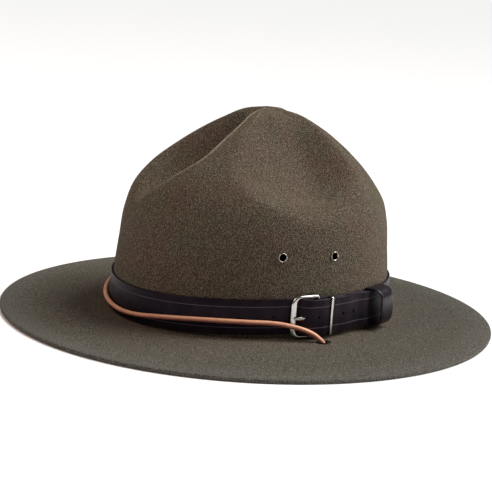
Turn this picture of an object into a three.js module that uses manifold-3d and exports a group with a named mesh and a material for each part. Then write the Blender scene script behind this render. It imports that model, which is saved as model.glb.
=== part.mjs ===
// Campaign hat: a moulded felt shell with a pinched crown and a flat brim, a buckled
// leather strap round the crown and a leather chin lace threaded through the brim.
// Millimetres, +Z up. The hat rests on its brim edge at z = 0, its front faces -Y and
// the wearer's left side is +X. The origin is under the middle of the brim.

import * as THREE from 'three';
import { mergeVertices } from 'three/addons/utils/BufferGeometryUtils.js';
import Module from 'manifold-3d';

const wasm = await Module();
wasm.setup();

// Felt shell
const CROWN_LENGTH = 197.2; // outside, front to back, at the brim
const CROWN_WIDTH = 174.4; // outside, side to side, at the brim
const CROWN_HEIGHT = 138.4; // brim to peak
const CROWN_WALL = 2.2;
const BRIM_LENGTH = 348;
const BRIM_WIDTH = 322;
const BRIM_WALL = 2.8;
const BRIM_RISE = 5.2; // from the edge up to the crown, at the back
const BRIM_DIP = 4.6; // less at the front than at the back
const BRIM_FOOT = 6; // flat ring under the edge
const ROOT_RADIUS = 0.9; // where the brim turns up into the crown
const RIDGE_ANGLE = 45; // degrees from the front to the first of the four ridges, before they turn
const RIDGE_FORWARD = 7; // degrees that sets the front ridges further forward
const DENT_BACK = 6; // degrees that sets the side dents further back
const RIDGE_RIM = 1.3; // how round the rim between a ridge and a dent is: 1 is a sharp edge
const SECTIONS = 64; // round the shell

// Holes in the felt
const VENT_BORE = 4.4;
const VENT_FLANGE = 6.2;
const VENT_HEIGHT = 52.2; // above the brim
const VENT_ANGLE = 90.8; // degrees from the front to the middle of a pair
const VENT_SPREAD = 11.6; // degrees from the middle of a pair to each vent
const EYELET_METAL = 0.4;
const LACE_SLOT_LENGTH = 8.2;
const LACE_SLOT_WIDTH = 4.1;
const LACE_SLOT_ANGLE = 94.7; // degrees from the front
const LACE_SLOT_OUT = 12.4; // from the crown
const LACE_SLOT_SLANT = 12; // degrees that a slot turns outwards
const SLOT_FLANGE = 1; // wide

// Strap, buckle and keepers
const STRAP_WIDTH = 23.2;
const LEATHER = 1.4;
const STRAP_SEAT = 0.6; // above the brim at the front
const STRAP_LIFT = 3; // more at the back than at the front
const FOLD_LENGTH = 21; // stitched fold behind the heel bar
const TAIL_LENGTH = 64; // past the heel bar
const HOLE_PITCH = 10.2;
const HOLE_BORE = 1.9;
const HOLES_BEFORE = 4; // on the plain side of the one that the prong is in
const HOLES_AFTER = 4; // on the tail
const BUCKLE_ANGLE = 94.3; // degrees from the front to the heel bar
const FRAME_LENGTH = 19.8; // along the strap
const FRAME_HEIGHT = 28.2;
const FRAME_THICK = 2.2;
const FRAME_CORNER = 3.8;
const FRONT_BAR = 4;
const SIDE_BAR = 2;
const HEEL_BAR = 2;
const FRAME_BEVEL = 0.5;
const PRONG_WIDTH = 2.2;
const PRONG_THICK = 1.2;
const WIRE_WIDTH = 1.6;
const WIRE_THICK = 1;
const WIRE_PLACE = 8.3; // behind the heel bar
const KEEPER_PLACE = 43; // behind the heel bar
const KEEPER_WIDTH = 19;
const KEEPER_WALL = 1.3;
const KEEPER_BULGE = 13; // its outer face stands this far off the crown
const KEEPER_SHEAR = 0.4; // its mouth leans back by this share of its height

// Lace
const LACE = 3.2;
const LACE_SIDES = 8;
const LACE_STEPS = 80;

const EVEN = 0.001; // diagonals that differ by less count as even

// Fits
const GAP = 0.3; // between pieces that touch
const SIDE_GAP = 0.35; // between the strap's edges and the metal round them

const OLIVE = new THREE.MeshStandardMaterial({ name: 'felt', color: 0x5a5244, roughness: 0.95 });
const BLACK = new THREE.MeshStandardMaterial({ name: 'strap', color: 0x231b1e, roughness: 0.4 });
const TAN = new THREE.MeshStandardMaterial({ name: 'lace', color: 0xb8744e, roughness: 0.6 });
const NICKEL = new THREE.MeshStandardMaterial({ name: 'nickel', color: 0xc9c8c6, roughness: 0.25, metalness: 1 });

// The crown from the brim to the peak, each row a height on the shell. A ridge and a dent
// have each their own radius, a share of the crown's half length and half width, and their
// own height, a share of the crown's height. The flats are the share of a ridge that stays
// level before it falls to the front dent, to a side dent's front half, and further back.
// Side is how much of a dent's depth the side dents have, and lean moves the section towards
// the back, a share of the crown's half length.
const CROWN_COLUMNS = [
  'at', 'ridge', 'ridgeUp', 'dent', 'dentUp', 'frontFlat', 'sideFlat', 'backFlat', 'side', 'lean',
];
const CROWN_ROWS = [
  [0.0, 1.0, 0.0, 1.0, 0.0, 0.9, 0.9, 0.36, 1.0, 0.0],
  [0.1, 0.993, 0.1, 0.993, 0.1, 0.9, 0.9, 0.36, 1.0, 0.0],
  [0.2, 0.986, 0.2, 0.986, 0.2, 0.9, 0.9, 0.36, 1.0, 0.002],
  [0.32, 0.967, 0.33, 0.965, 0.33, 0.9, 0.9, 0.36, 1.0, 0.002],
  [0.44, 0.941, 0.482, 0.944, 0.46, 0.9, 0.9, 0.36, 1.0, 0.002],
  [0.53, 0.888, 0.597, 0.908, 0.545, 0.9, 0.78, 0.36, 1.0, 0.005],
  [0.61, 0.795, 0.691, 0.815, 0.59, 0.66, 0.42, 0.34, 1.0, 0.018],
  [0.7, 0.649, 0.786, 0.635, 0.633, 0.36, 0.17, 0.3, 1.0, 0.038],
  [0.78, 0.5, 0.864, 0.46, 0.717, 0.3, 0.12, 0.25, 0.95, 0.05],
  [0.86, 0.345, 0.929, 0.29, 0.828, 0.28, 0.1, 0.2, 0.75, 0.056],
  [0.93, 0.195, 0.977, 0.168, 0.945, 0.26, 0.08, 0.12, 0.5, 0.046],
  [1.0, 0.0, 1.0, 0.0, 1.0, 0.2, 0.08, 0.1, 0.5, 0.015],
].map((values) => Object.fromEntries(CROWN_COLUMNS.map((name, k) => [name, values[k]])));

// The rows of the shell's mesh, as shares of the way from the brim to the peak
const CROWN_STEPS = [0.07, 0.2, 0.32, 0.42, 0.48, 0.53, 0.575, 0.62, 0.67, 0.73, 0.79, 0.85, 0.91, 0.96];
// The same across the brim, from its edge to the crown
const BRIM_STEPS = [0, 0.04, 0.5, 0.92];

const radians = THREE.MathUtils.degToRad;
const ROOT = BRIM_WALL + BRIM_RISE; // the brim's top where it meets the crown, at the back
const BACK = CROWN_LENGTH / 2;
const SIDE = CROWN_WIDTH / 2;

// Smooth value of one column of a table at a place between its rows
function column(rows, name, at) {
  const last = rows.length - 1;
  const value = (i) => rows[i][name];
  const slope = (i) => {
    const a = Math.max(i - 1, 0);
    const b = Math.min(i + 1, last);
    if (a === i || b === i) return (value(b) - value(a)) / (rows[b].at - rows[a].at);
    const before = (value(i) - value(a)) / (rows[i].at - rows[a].at);
    const after = (value(b) - value(i)) / (rows[b].at - rows[i].at);
    const share = (rows[i].at - rows[a].at) / (rows[b].at - rows[a].at);
    return before * (1 - share) + after * share;
  };
  let k = 0;
  while (k < last - 1 && at > rows[k + 1].at) k += 1;
  const wide = rows[k + 1].at - rows[k].at;
  const t = (at - rows[k].at) / wide;
  const from = value(k) * (2 * t ** 3 - 3 * t ** 2 + 1) + slope(k) * wide * (t ** 3 - 2 * t ** 2 + t);
  const to = value(k + 1) * (3 * t ** 2 - 2 * t ** 3) + slope(k + 1) * wide * (t ** 3 - t ** 2);
  return from + to;
}

// How much of the brim's dip a place has: all of it at the front and none at the back
function dipShare(angle) {
  return ((1 + Math.cos(angle)) / 2) ** 3;
}

// A share from 0 to 1 that starts and ends gently
function smoothShare(share) {
  return THREE.MathUtils.smoothstep(share, 0, 1);
}

// Point on the outside of the crown, the angle counted from the front to the wearer's left
function crownPoint(angle, at) {
  const ridgeTurn = radians(RIDGE_FORWARD) * Math.sin(2 * angle) * (0.5 + 0.5 * Math.cos(angle));
  const dentTurn = radians(DENT_BACK) * Math.sin(angle) * Math.cos(2 * angle);
  const wave = Math.abs(Math.sin(2 * (angle + ridgeTurn + dentTurn - radians(RIDGE_ANGLE))));
  const toSide = smoothShare(Math.sin(angle) ** 2);
  const toBack = smoothShare(0.5 - 3 * Math.cos(angle));
  const { lerp } = THREE.MathUtils;
  const frontFlat = lerp(column(CROWN_ROWS, 'frontFlat', at), column(CROWN_ROWS, 'sideFlat', at), toSide);
  const flat = lerp(frontFlat, column(CROWN_ROWS, 'backFlat', at), toBack);
  const fall = Math.max((wave - flat) / (1 - flat), 0) ** RIDGE_RIM;
  const depth = 1 - (1 - column(CROWN_ROWS, 'side', at)) * Math.sin(angle) ** 2;
  const ridge = 1 - depth * fall;
  const mix = (low, high) => {
    const dent = column(CROWN_ROWS, low, at);
    return dent + ridge * (column(CROWN_ROWS, high, at) - dent);
  };
  const radius = mix('dent', 'ridge');
  const up = mix('dentUp', 'ridgeUp');
  return new THREE.Vector3(
    SIDE * radius * Math.sin(angle),
    BACK * (column(CROWN_ROWS, 'lean', at) - radius * Math.cos(angle)),
    ROOT + CROWN_HEIGHT * up - BRIM_DIP * dipShare(angle) * (1 - up),
  );
}

// Place on the way up the crown that lies at a height above the floor
function crownPlace(angle, height) {
  let low = 0;
  let high = 0.6;
  for (let i = 0; i < 40; i += 1) {
    const middle = (low + high) / 2;
    if (crownPoint(angle, middle).z < height) low = middle;
    else high = middle;
  }
  return (low + high) / 2;
}

// Level direction straight off the crown wall
function outward(angle) {
  return new THREE.Vector3(BACK * Math.sin(angle), -SIDE * Math.cos(angle), 0).normalize();
}

// Point off the crown wall, by angle, height above the floor and distance off the felt
function offWall(angle, height, out) {
  const point = crownPoint(angle, crownPlace(angle, height));
  point.z = height;
  return point.addScaledVector(outward(angle), out);
}

// Height of the brim's top, from 0 at the edge to 1 at the crown
function brimHeight(angle, share) {
  return BRIM_WALL + (BRIM_RISE - BRIM_DIP * dipShare(angle)) * share;
}

function brimTop(angle, share) {
  const length = THREE.MathUtils.lerp(BRIM_LENGTH / 2, BACK + ROOT_RADIUS, share);
  const width = THREE.MathUtils.lerp(BRIM_WIDTH / 2, SIDE + ROOT_RADIUS, share);
  return new THREE.Vector3(width * Math.sin(angle), -length * Math.cos(angle), brimHeight(angle, share));
}

// Closed body from rings of points, the first and the last ring closed by a fan to a point or
// a flat lid. Each four-cornered face is split along its longer diagonal, which follows a fold.
function body(rings, closeStart, closeEnd) {
  const round = rings[0].length;
  const points = rings.flat();
  const faces = [];
  for (let r = 0; r < rings.length - 1; r += 1) {
    for (let i = 0; i < round; i += 1) {
      const a = r * round + i;
      const b = r * round + ((i + 1) % round);
      const rising = points[a].distanceTo(points[b + round]);
      const falling = points[b].distanceTo(points[a + round]);
      if (rising > falling - EVEN) faces.push([a, b, b + round], [a, b + round, a + round]);
      else faces.push([a, b, a + round], [b, b + round, a + round]);
    }
  }
  const lid = (first, point, flip) => {
    const tip = points.push(point) - 1;
    for (let i = 0; i < round; i += 1) {
      const a = first + i;
      const b = first + ((i + 1) % round);
      faces.push(flip ? [b, a, tip] : [a, b, tip]);
    }
  };
  lid((rings.length - 1) * round, closeEnd, false);
  lid(0, closeStart, true);
  const geometry = new THREE.BufferGeometry();
  geometry.setAttribute('position', new THREE.Float32BufferAttribute(points.flatMap((p) => p.toArray()), 3));
  geometry.setIndex(faces.flat());
  return geometry;
}

function middleOf(ring) {
  const sum = ring.reduce((total, point) => total.add(point), new THREE.Vector3());
  return sum.divideScalar(ring.length);
}

// Solid for cutting and joining, from a closed mesh
function solid(geometry) {
  const bare = geometry.clone();
  bare.deleteAttribute('normal');
  bare.deleteAttribute('uv');
  const merged = mergeVertices(bare, 1e-4);
  return new wasm.Manifold(new wasm.Mesh({
    numProp: 3,
    vertProperties: new Float32Array(merged.attributes.position.array),
    triVerts: new Uint32Array(merged.index.array),
  }));
}

function geometryOf(manifold) {
  const mesh = manifold.getMesh();
  const geometry = new THREE.BufferGeometry();
  geometry.setAttribute('position', new THREE.Float32BufferAttribute(mesh.vertProperties, 3));
  geometry.setIndex(Array.from(mesh.triVerts));
  return geometry;
}

const hat = new THREE.Group();

function add(name, geometry, material) {
  geometry.computeVertexNormals();
  const mesh = new THREE.Mesh(geometry, material);
  mesh.name = name;
  hat.add(mesh);
}

// Felt shell: the outside from the brim edge up to the peak, then the inside back down
function feltShell() {
  const angles = Array.from({ length: SECTIONS }, (_, i) => (2 * Math.PI * i) / SECTIONS);
  const fillet = [270, 225, 180].map((turn) => ({
    out: ROOT_RADIUS * (1 + Math.cos(radians(turn))),
    up: ROOT_RADIUS * (1 + Math.sin(radians(turn))),
  }));
  const outside = [
    ...BRIM_STEPS.map((share) => (angle) => brimTop(angle, share)),
    ...fillet.map(({ out, up }) => (angle) => offWall(angle, brimHeight(angle, 1) + up, out)),
    ...CROWN_STEPS.map((at) => (angle) => crownPoint(angle, at)),
  ];
  const turn = 0.01;
  const normal = (row, angle) => {
    const below = outside[Math.max(row - 1, 0)](angle);
    const above = row + 1 < outside.length ? outside[row + 1](angle) : crownPoint(angle, 1);
    const along = outside[row](angle + turn).sub(outside[row](angle - turn));
    return along.cross(above.sub(below)).normalize();
  };
  const brimRows = BRIM_STEPS.length;
  const inside = (row, angle) => {
    const point = outside[row](angle);
    if (row === 0) return point.setZ(0);
    if (row < brimRows) {
      const under = point.z - BRIM_WALL;
      return point.setZ(row === 1 ? 0 : under);
    }
    return point.addScaledVector(normal(row, angle), -CROWN_WALL);
  };
  const footShare = BRIM_FOOT / (BRIM_LENGTH / 2 - BACK);
  const foot = (angle) => brimTop(angle, footShare).setZ(0);
  const rows = outside.map((_, row) => row);
  const outerRings = rows.map((row) => angles.map((angle) => outside[row](angle)));
  const innerRings = rows.map((row) => angles.map((angle) => (row === 1 ? foot(angle) : inside(row, angle))));
  const peak = crownPoint(0, 1);
  const peakInside = peak.clone().setZ(peak.z - CROWN_WALL);
  return stitchShell(outerRings, innerRings, peak, peakInside);
}

// Joins the outer rings and the inner rings at the brim edge and closes both at the peak
function stitchShell(outerRings, innerRings, peak, peakInside) {
  const rings = [...innerRings].reverse().concat(outerRings);
  return body(rings, peakInside, peak);
}

// Eyelet pressed through a wall: a barrel with a rolled flange outside, and a flat one inside
// where it is clinched. It lies round the Y axis, with y = 0 on the wall's outer face.
function eyelet(bore, flange, wall, segments, clinched) {
  const inner = bore / 2;
  const outer = flange / 2;
  const barrel = inner + EYELET_METAL;
  const back = -wall - GAP;
  const foot = clinched
    ? [[barrel, back - EYELET_METAL], [outer, back - EYELET_METAL], [outer, back], [barrel, back]]
    : [[inner, -wall], [barrel, -wall]];
  const profile = [
    ...foot,
    [barrel, GAP],
    [outer, GAP],
    [outer - EYELET_METAL * 0.6, GAP + EYELET_METAL * 1.3],
    [barrel + EYELET_METAL * 0.3, GAP + EYELET_METAL * 1.4],
    [inner, GAP - EYELET_METAL],
    ...(clinched ? [[inner, back + EYELET_METAL]] : []),
    foot[0],
  ];
  return new THREE.LatheGeometry(profile.map(([x, y]) => new THREE.Vector2(x, y)), segments);
}

// Turns a shape that lies round the Y axis to stand on a wall at a point, its long side along
function standOn(geometry, point, normal, along) {
  const side = new THREE.Vector3().crossVectors(along, normal).normalize();
  const straight = new THREE.Vector3().crossVectors(normal, side).normalize();
  const matrix = new THREE.Matrix4().makeBasis(straight, normal, side).setPosition(point);
  return geometry.applyMatrix4(matrix);
}

// Draws a round shape out into one with straight sides, along X
function stretch(geometry, longer) {
  const place = geometry.attributes.position;
  for (let i = 0; i < place.count; i += 1) {
    const x = place.getX(i);
    place.setX(i, x + Math.sign(x) * (longer / 2));
  }
  return geometry;
}

const VENT_SIDES = 12;
const SLOT_SIDES = 14;

function ventPlaces() {
  const places = [];
  for (const [side, sign] of [['left', 1], ['right', -1]]) {
    for (const [end, turn] of [['front', -1], ['rear', 1]]) {
      const angle = radians(sign * (VENT_ANGLE + turn * VENT_SPREAD));
      const at = crownPlace(angle, ROOT + VENT_HEIGHT);
      const point = crownPoint(angle, at);
      const step = 0.02;
      const rise = crownPoint(angle, at + step).sub(crownPoint(angle, at - step)).normalize();
      const round = crownPoint(angle + step, at).sub(crownPoint(angle - step, at)).normalize();
      places.push({ name: `vent_eyelet_${side}_${end}`, point, normal: round.clone().cross(rise).normalize(), round });
    }
  }
  return places;
}

function slotPlaces() {
  return [['left', 1], ['right', -1]].map(([side, sign]) => {
    const angle = radians(sign * LACE_SLOT_ANGLE);
    const brim = BRIM_WIDTH / 2 - SIDE;
    const height = brimHeight(angle, 1 - LACE_SLOT_OUT / brim);
    const point = offWall(angle, height, LACE_SLOT_OUT);
    const off = outward(angle);
    const round = new THREE.Vector3(-off.y, off.x, 0).multiplyScalar(sign);
    const slant = radians(LACE_SLOT_SLANT);
    const along = round.multiplyScalar(Math.cos(slant)).addScaledVector(off, Math.sin(slant));
    const slope = (brimHeight(angle, 1) - BRIM_WALL) / brim;
    const normal = new THREE.Vector3(0, 0, 1).addScaledVector(off, slope).normalize();
    return { name: `brim_eyelet_${side}`, point, normal, round: along };
  });
}

function slotTool(wide, high) {
  const geometry = new THREE.CylinderGeometry(wide / 2, wide / 2, high, SLOT_SIDES);
  geometry.rotateY(Math.PI / SLOT_SIDES);
  return stretch(geometry, LACE_SLOT_LENGTH - LACE_SLOT_WIDTH);
}

function drilledShell() {
  let shell = solid(feltShell());
  const through = 4 * CROWN_WALL;
  const ventTool = VENT_BORE + 2 * (EYELET_METAL + GAP);
  for (const { point, normal, round } of ventPlaces()) {
    const tool = new THREE.CylinderGeometry(ventTool / 2, ventTool / 2, through, VENT_SIDES);
    shell = shell.subtract(solid(standOn(tool, point, normal, round)));
  }
  for (const { point, normal, round } of slotPlaces()) {
    const tool = slotTool(LACE_SLOT_WIDTH + 2 * (EYELET_METAL + GAP), 4 * BRIM_WALL);
    shell = shell.subtract(solid(standOn(tool, point, normal, round)));
  }
  return geometryOf(shell);
}

add('felt_body', drilledShell(), OLIVE);

for (const { name, point, normal, round } of ventPlaces()) {
  const ring = eyelet(VENT_BORE, VENT_FLANGE, CROWN_WALL, VENT_SIDES, true);
  add(name, standOn(ring, point, normal, round), NICKEL);
}

for (const { name, point, normal, round } of slotPlaces()) {
  const ring = eyelet(LACE_SLOT_WIDTH, LACE_SLOT_WIDTH + 2 * SLOT_FLANGE, BRIM_WALL, SLOT_SIDES, false);
  ring.rotateY(Math.PI / SLOT_SIDES);
  stretch(ring, LACE_SLOT_LENGTH - LACE_SLOT_WIDTH);
  add(name, standOn(ring, point, normal, round), NICKEL);
}

// Strap space: along runs round the crown from the heel bar to the back, up is measured from
// the strap's middle, and out from the felt. A table of lengths finds the angle of a place.
const LENGTH_STEPS = 720;

// Height of the strap's middle above the floor
function strapHeight(angle) {
  return brimHeight(angle, 1) + STRAP_SEAT + STRAP_LIFT * (1 - dipShare(angle)) + STRAP_WIDTH / 2;
}

function lengthTable() {
  const start = radians(BUCKLE_ANGLE);
  const rows = [{ angle: start, length: 0 }];
  let last = offWall(start, strapHeight(start), 0);
  for (let i = 1; i <= LENGTH_STEPS; i += 1) {
    const angle = start + (2 * Math.PI * i) / LENGTH_STEPS;
    const next = offWall(angle, strapHeight(angle), 0);
    rows.push({ angle, length: rows[i - 1].length + next.distanceTo(last) });
    last = next;
  }
  return rows;
}

const LENGTHS = lengthTable();
const ROUND = LENGTHS[LENGTH_STEPS].length;

function angleAt(along) {
  const turns = Math.floor(along / ROUND);
  const rest = along - turns * ROUND;
  let k = Math.min(Math.floor((rest / ROUND) * LENGTH_STEPS), LENGTH_STEPS - 1);
  while (k > 0 && LENGTHS[k].length > rest) k -= 1;
  while (k < LENGTH_STEPS - 1 && LENGTHS[k + 1].length < rest) k += 1;
  const share = (rest - LENGTHS[k].length) / (LENGTHS[k + 1].length - LENGTHS[k].length);
  return THREE.MathUtils.lerp(LENGTHS[k].angle, LENGTHS[k + 1].angle, share) + turns * 2 * Math.PI;
}

function wrap(along, up, out) {
  const angle = angleAt(along);
  return offWall(angle, strapHeight(angle) + up, out);
}

// Wraps a shape that was drawn flat, with X along, Y up and Z out
function wrapShape(geometry) {
  const place = geometry.attributes.position;
  for (let i = 0; i < place.count; i += 1) {
    const point = wrap(place.getX(i), place.getY(i), place.getZ(i));
    place.setXYZ(i, point.x, point.y, point.z);
  }
  return geometry;
}

// Smooth line through points of a plane, with more steps where it turns
function smoothLine(points) {
  const places = points.map(({ along, out }) => new THREE.Vector3(along, out, 0));
  const curve = new THREE.CatmullRomCurve3(places, false, 'centripetal');
  const line = [];
  const spans = points.length - 1;
  const sharp = radians(20);
  for (let i = 0; i < spans; i += 1) {
    const turn = curve.getTangent(i / spans).angleTo(curve.getTangent((i + 1) / spans));
    const far = curve.points[i].distanceTo(curve.points[i + 1]);
    const cuts = Math.max(1, Math.ceil(turn / sharp), Math.ceil(far / STEP));
    for (let j = 0; j < cuts; j += 1) line.push(curve.getPoint((i + j / cuts) / spans));
  }
  line.push(curve.getPoint(1));
  return line;
}

// Flat ribbon of even thickness along a line of places {along, out}; half gives its half
// width at each step
function ribbon(line, thick, half, up) {
  const rings = line.map((point, i) => {
    const before = line[Math.max(i - 1, 0)];
    const after = line[Math.min(i + 1, line.length - 1)];
    const way = after.clone().sub(before).normalize();
    const off = new THREE.Vector3(-way.y, way.x, 0).multiplyScalar(thick / 2);
    const high = half(i, line);
    const corner = (side, edge) => wrap(point.x + side * off.x, up + edge * high, point.y + side * off.y);
    return [corner(-1, -1), corner(-1, 1), corner(1, 1), corner(1, -1)];
  });
  return body(rings, middleOf(rings[0]), middleOf(rings[rings.length - 1]));
}

// Places across the strap, measured from the felt to the middle of a piece
const LAYER = LEATHER + GAP;
const FIRST = GAP + LEATHER / 2;
const SECOND = FIRST + LAYER;
const BAR_REACH = HEEL_BAR / 2 + 0.25; // from the heel bar's middle to its bevelled corners
const FOLD_REACH = BAR_REACH + GAP + LEATHER / 2;
const FRAME_OUT = FIRST + FOLD_REACH;
const PRONG_REACH = BAR_REACH + GAP + PRONG_THICK / 2;
const TAIL_TOP = FRAME_OUT + PRONG_REACH + PRONG_THICK / 2 + GAP + LEATHER / 2;
const WIRE_BACK = FIRST + LEATHER / 2 + GAP + WIRE_THICK / 2;
const FOLD_OVER_WIRE = WIRE_BACK + WIRE_THICK / 2 + GAP + LEATHER / 2;
const TAIL_OVER_WIRE = FOLD_OVER_WIRE + LAYER;
const WIRE_FRONT = TAIL_OVER_WIRE + LEATHER / 2 + GAP + WIRE_THICK / 2;
const KEEPER_BACK = GAP + KEEPER_WALL + GAP;
const FIRST_IN_KEEPER = KEEPER_BACK + LEATHER / 2;
const SECOND_IN_KEEPER = FIRST_IN_KEEPER + LAYER;
const FRONT_BAR_END = -FRAME_LENGTH + HEEL_BAR / 2 + FRONT_BAR;
const PRONG_OUT = FRAME_OUT + FRAME_THICK / 2 + GAP + PRONG_THICK / 2;
const PRONG_HOLE = FRONT_BAR_END + 3.8; // the strap crosses the prong here
const KEEPER_END = KEEPER_PLACE + KEEPER_WIDTH;
const KEEPER_MIDDLE = KEEPER_PLACE + KEEPER_WIDTH / 2;
const THIRD = SECOND + LAYER;
const STEP = 8.5; // at most, between the steps along the strap

// The fold behind the heel bar, from its stitched end to the bar
const FOLD_LINE = [
  { along: FOLD_LENGTH, out: SECOND },
  { along: FOLD_LENGTH - 3, out: SECOND },
  { along: FOLD_LENGTH - 6, out: SECOND + 0.15 },
  { along: WIRE_PLACE + 2.6, out: FOLD_OVER_WIRE - 0.5 },
  { along: WIRE_PLACE, out: FOLD_OVER_WIRE },
  { along: 4, out: FRAME_OUT + FOLD_REACH - 0.35 },
];
// From the heel bar once round the crown to the buckle's front bar
const RUN_LINE = [
  { along: 4, out: FIRST },
  { along: 10, out: FIRST },
  { along: KEEPER_PLACE - 14, out: FIRST },
  { along: KEEPER_PLACE - 8, out: FIRST + 0.1 },
  { along: KEEPER_PLACE - 1, out: FIRST_IN_KEEPER },
  { along: KEEPER_MIDDLE, out: FIRST_IN_KEEPER },
  { along: KEEPER_END + 1, out: FIRST_IN_KEEPER },
  { along: KEEPER_END + 8, out: FIRST + 0.1 },
  { along: KEEPER_END + 14, out: FIRST },
  { along: KEEPER_END + 20, out: FIRST },
  { along: ROUND + FRONT_BAR_END - 8, out: FIRST },
];
// Under the front bar, up over the prong and the fold, and through both keepers to the tip
const TAIL_LINE = [
  { along: FRONT_BAR_END - 4, out: FIRST },
  { along: FRONT_BAR_END - 0.8, out: FIRST },
  { along: FRONT_BAR_END + 1.3, out: FIRST + 0.85 },
  { along: PRONG_HOLE - 1.1, out: PRONG_OUT - 1.9 },
  { along: PRONG_HOLE, out: PRONG_OUT - 0.6 },
  { along: PRONG_HOLE + 1.8, out: TAIL_TOP - 0.75 },
  { along: PRONG_HOLE + 4.6, out: TAIL_TOP - 0.05 },
  { along: -2, out: TAIL_TOP },
  { along: 2, out: TAIL_TOP },
  { along: WIRE_PLACE - 3, out: TAIL_OVER_WIRE + 0.55 },
  { along: WIRE_PLACE, out: TAIL_OVER_WIRE + 0.05 },
  { along: WIRE_PLACE + 4, out: THIRD + 0.75 },
  { along: FOLD_LENGTH - 6, out: THIRD + 0.2 },
  { along: FOLD_LENGTH - 1, out: THIRD },
  { along: FOLD_LENGTH + 3, out: THIRD - 0.3 },
  { along: FOLD_LENGTH + 8, out: SECOND + 0.5 },
  { along: KEEPER_PLACE - 9, out: SECOND + 0.25 },
  { along: KEEPER_PLACE - 2, out: SECOND_IN_KEEPER + 0.05 },
  { along: KEEPER_MIDDLE, out: SECOND_IN_KEEPER },
  { along: KEEPER_END, out: SECOND_IN_KEEPER },
  { along: TAIL_LENGTH, out: SECOND_IN_KEEPER },
];

// Points of an arc round the heel bar, between two turns in degrees
function roundBar(reach, from, to, step) {
  const points = [];
  for (let turn = from; turn <= to; turn += step) {
    const angle = radians(turn);
    points.push({ along: reach * Math.cos(angle), out: FRAME_OUT + reach * Math.sin(angle) });
  }
  return points;
}

function strapLine() {
  const tail = TAIL_LINE.map(({ along, out }) => ({ along: ROUND + along, out }));
  return smoothLine([...FOLD_LINE, ...roundBar(FOLD_REACH, 80, 280, 25), ...RUN_LINE, ...tail]);
}

// The tail ends in a tongue
const TONGUE = 9;

function strapHalf(i, line) {
  const left = line[line.length - 1].x - line[i].x;
  const share = Math.min(left / TONGUE, 1);
  return (STRAP_WIDTH / 2) * (0.55 + 0.45 * Math.sqrt(1 - (1 - share) ** 2));
}

// The prong hooks over the heel bar and runs forward to the front bar
function prongLine(grow) {
  return smoothLine([
    ...roundBar(PRONG_REACH, -20, 90, 22),
    { along: -3, out: PRONG_OUT + 0.1 },
    { along: PRONG_HOLE, out: PRONG_OUT },
    { along: FRONT_BAR_END - PRONG_LAP - grow, out: PRONG_OUT },
  ]);
}

const PRONG_UP = -0.6; // from the strap's middle
const PRONG_LAP = 2.2; // its tip lies this far over the front bar

function prong(grow) {
  const half = (i, line) => {
    const left = line[i].x - line[line.length - 1].x;
    return (PRONG_WIDTH / 2) * Math.min(1, 0.55 + left / 4) + grow;
  };
  return ribbon(prongLine(grow), PRONG_THICK + 2 * grow, half, PRONG_UP);
}

// Punch for a hole at a distance along the strap from the one that the prong is in
function holeTool(line, distance) {
  const ahead = Math.sign(distance);
  let i = line.findIndex((point) => point.x > ROUND + PRONG_HOLE);
  let left = Math.abs(distance);
  while (left > line[i].distanceTo(line[i + ahead])) {
    left -= line[i].distanceTo(line[i + ahead]);
    i += ahead;
  }
  const way = line[i + ahead].clone().sub(line[i]).normalize();
  const point = line[i].clone().addScaledVector(way, left);
  const tool = new THREE.CylinderGeometry(HOLE_BORE / 2, HOLE_BORE / 2, LEATHER + GAP, 10);
  tool.rotateX(Math.PI / 2);
  tool.rotateY(-Math.atan2(way.y * ahead, way.x * ahead));
  tool.translate(point.x, PRONG_UP, point.y);
  return solid(wrapShape(tool));
}

function strap() {
  const line = strapLine();
  let leather = solid(ribbon(line, LEATHER, strapHalf, 0)).subtract(solid(prong(GAP)));
  for (let i = -HOLES_BEFORE; i <= HOLES_AFTER; i += 1) {
    if (i !== 0) leather = leather.subtract(holeTool(line, i * HOLE_PITCH));
  }
  return geometryOf(leather);
}

add('hat_strap', strap(), BLACK);
add('buckle_prong', prong(0), NICKEL);

// Rectangle with round corners, from corner to corner
function roundedRectangle(left, low, right, high, corner) {
  const shape = new THREE.Shape();
  shape.moveTo(left + corner, low);
  shape.lineTo(right - corner, low);
  shape.absarc(right - corner, low + corner, corner, -Math.PI / 2, 0);
  shape.lineTo(right, high - corner);
  shape.absarc(right - corner, high - corner, corner, 0, Math.PI / 2);
  shape.lineTo(left + corner, high);
  shape.absarc(left + corner, high - corner, corner, Math.PI / 2, Math.PI);
  shape.lineTo(left, low + corner);
  shape.absarc(left + corner, low + corner, corner, Math.PI, 1.5 * Math.PI);
  return shape;
}

function buckleFrame() {
  const left = -FRAME_LENGTH + HEEL_BAR / 2;
  const high = FRAME_HEIGHT / 2;
  const bevel = FRAME_BEVEL;
  const corner = FRAME_CORNER;
  const shape = roundedRectangle(left + bevel, -high + bevel, HEEL_BAR / 2 - bevel, high - bevel, corner - bevel);
  const hole = roundedRectangle(
    left + FRONT_BAR - bevel,
    -high + SIDE_BAR - bevel,
    -HEEL_BAR / 2 + bevel,
    high - SIDE_BAR + bevel,
    FRAME_BEVEL,
  );
  shape.holes.push(hole);
  const depth = FRAME_THICK - 2 * bevel;
  const geometry = new THREE.ExtrudeGeometry(shape, {
    depth, curveSegments: 3, bevelSegments: 1, bevelSize: bevel, bevelThickness: bevel,
  });
  geometry.translate(0, 0, FRAME_OUT - depth / 2);
  return wrapShape(geometry);
}

add('buckle_frame', buckleFrame(), NICKEL);

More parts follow.
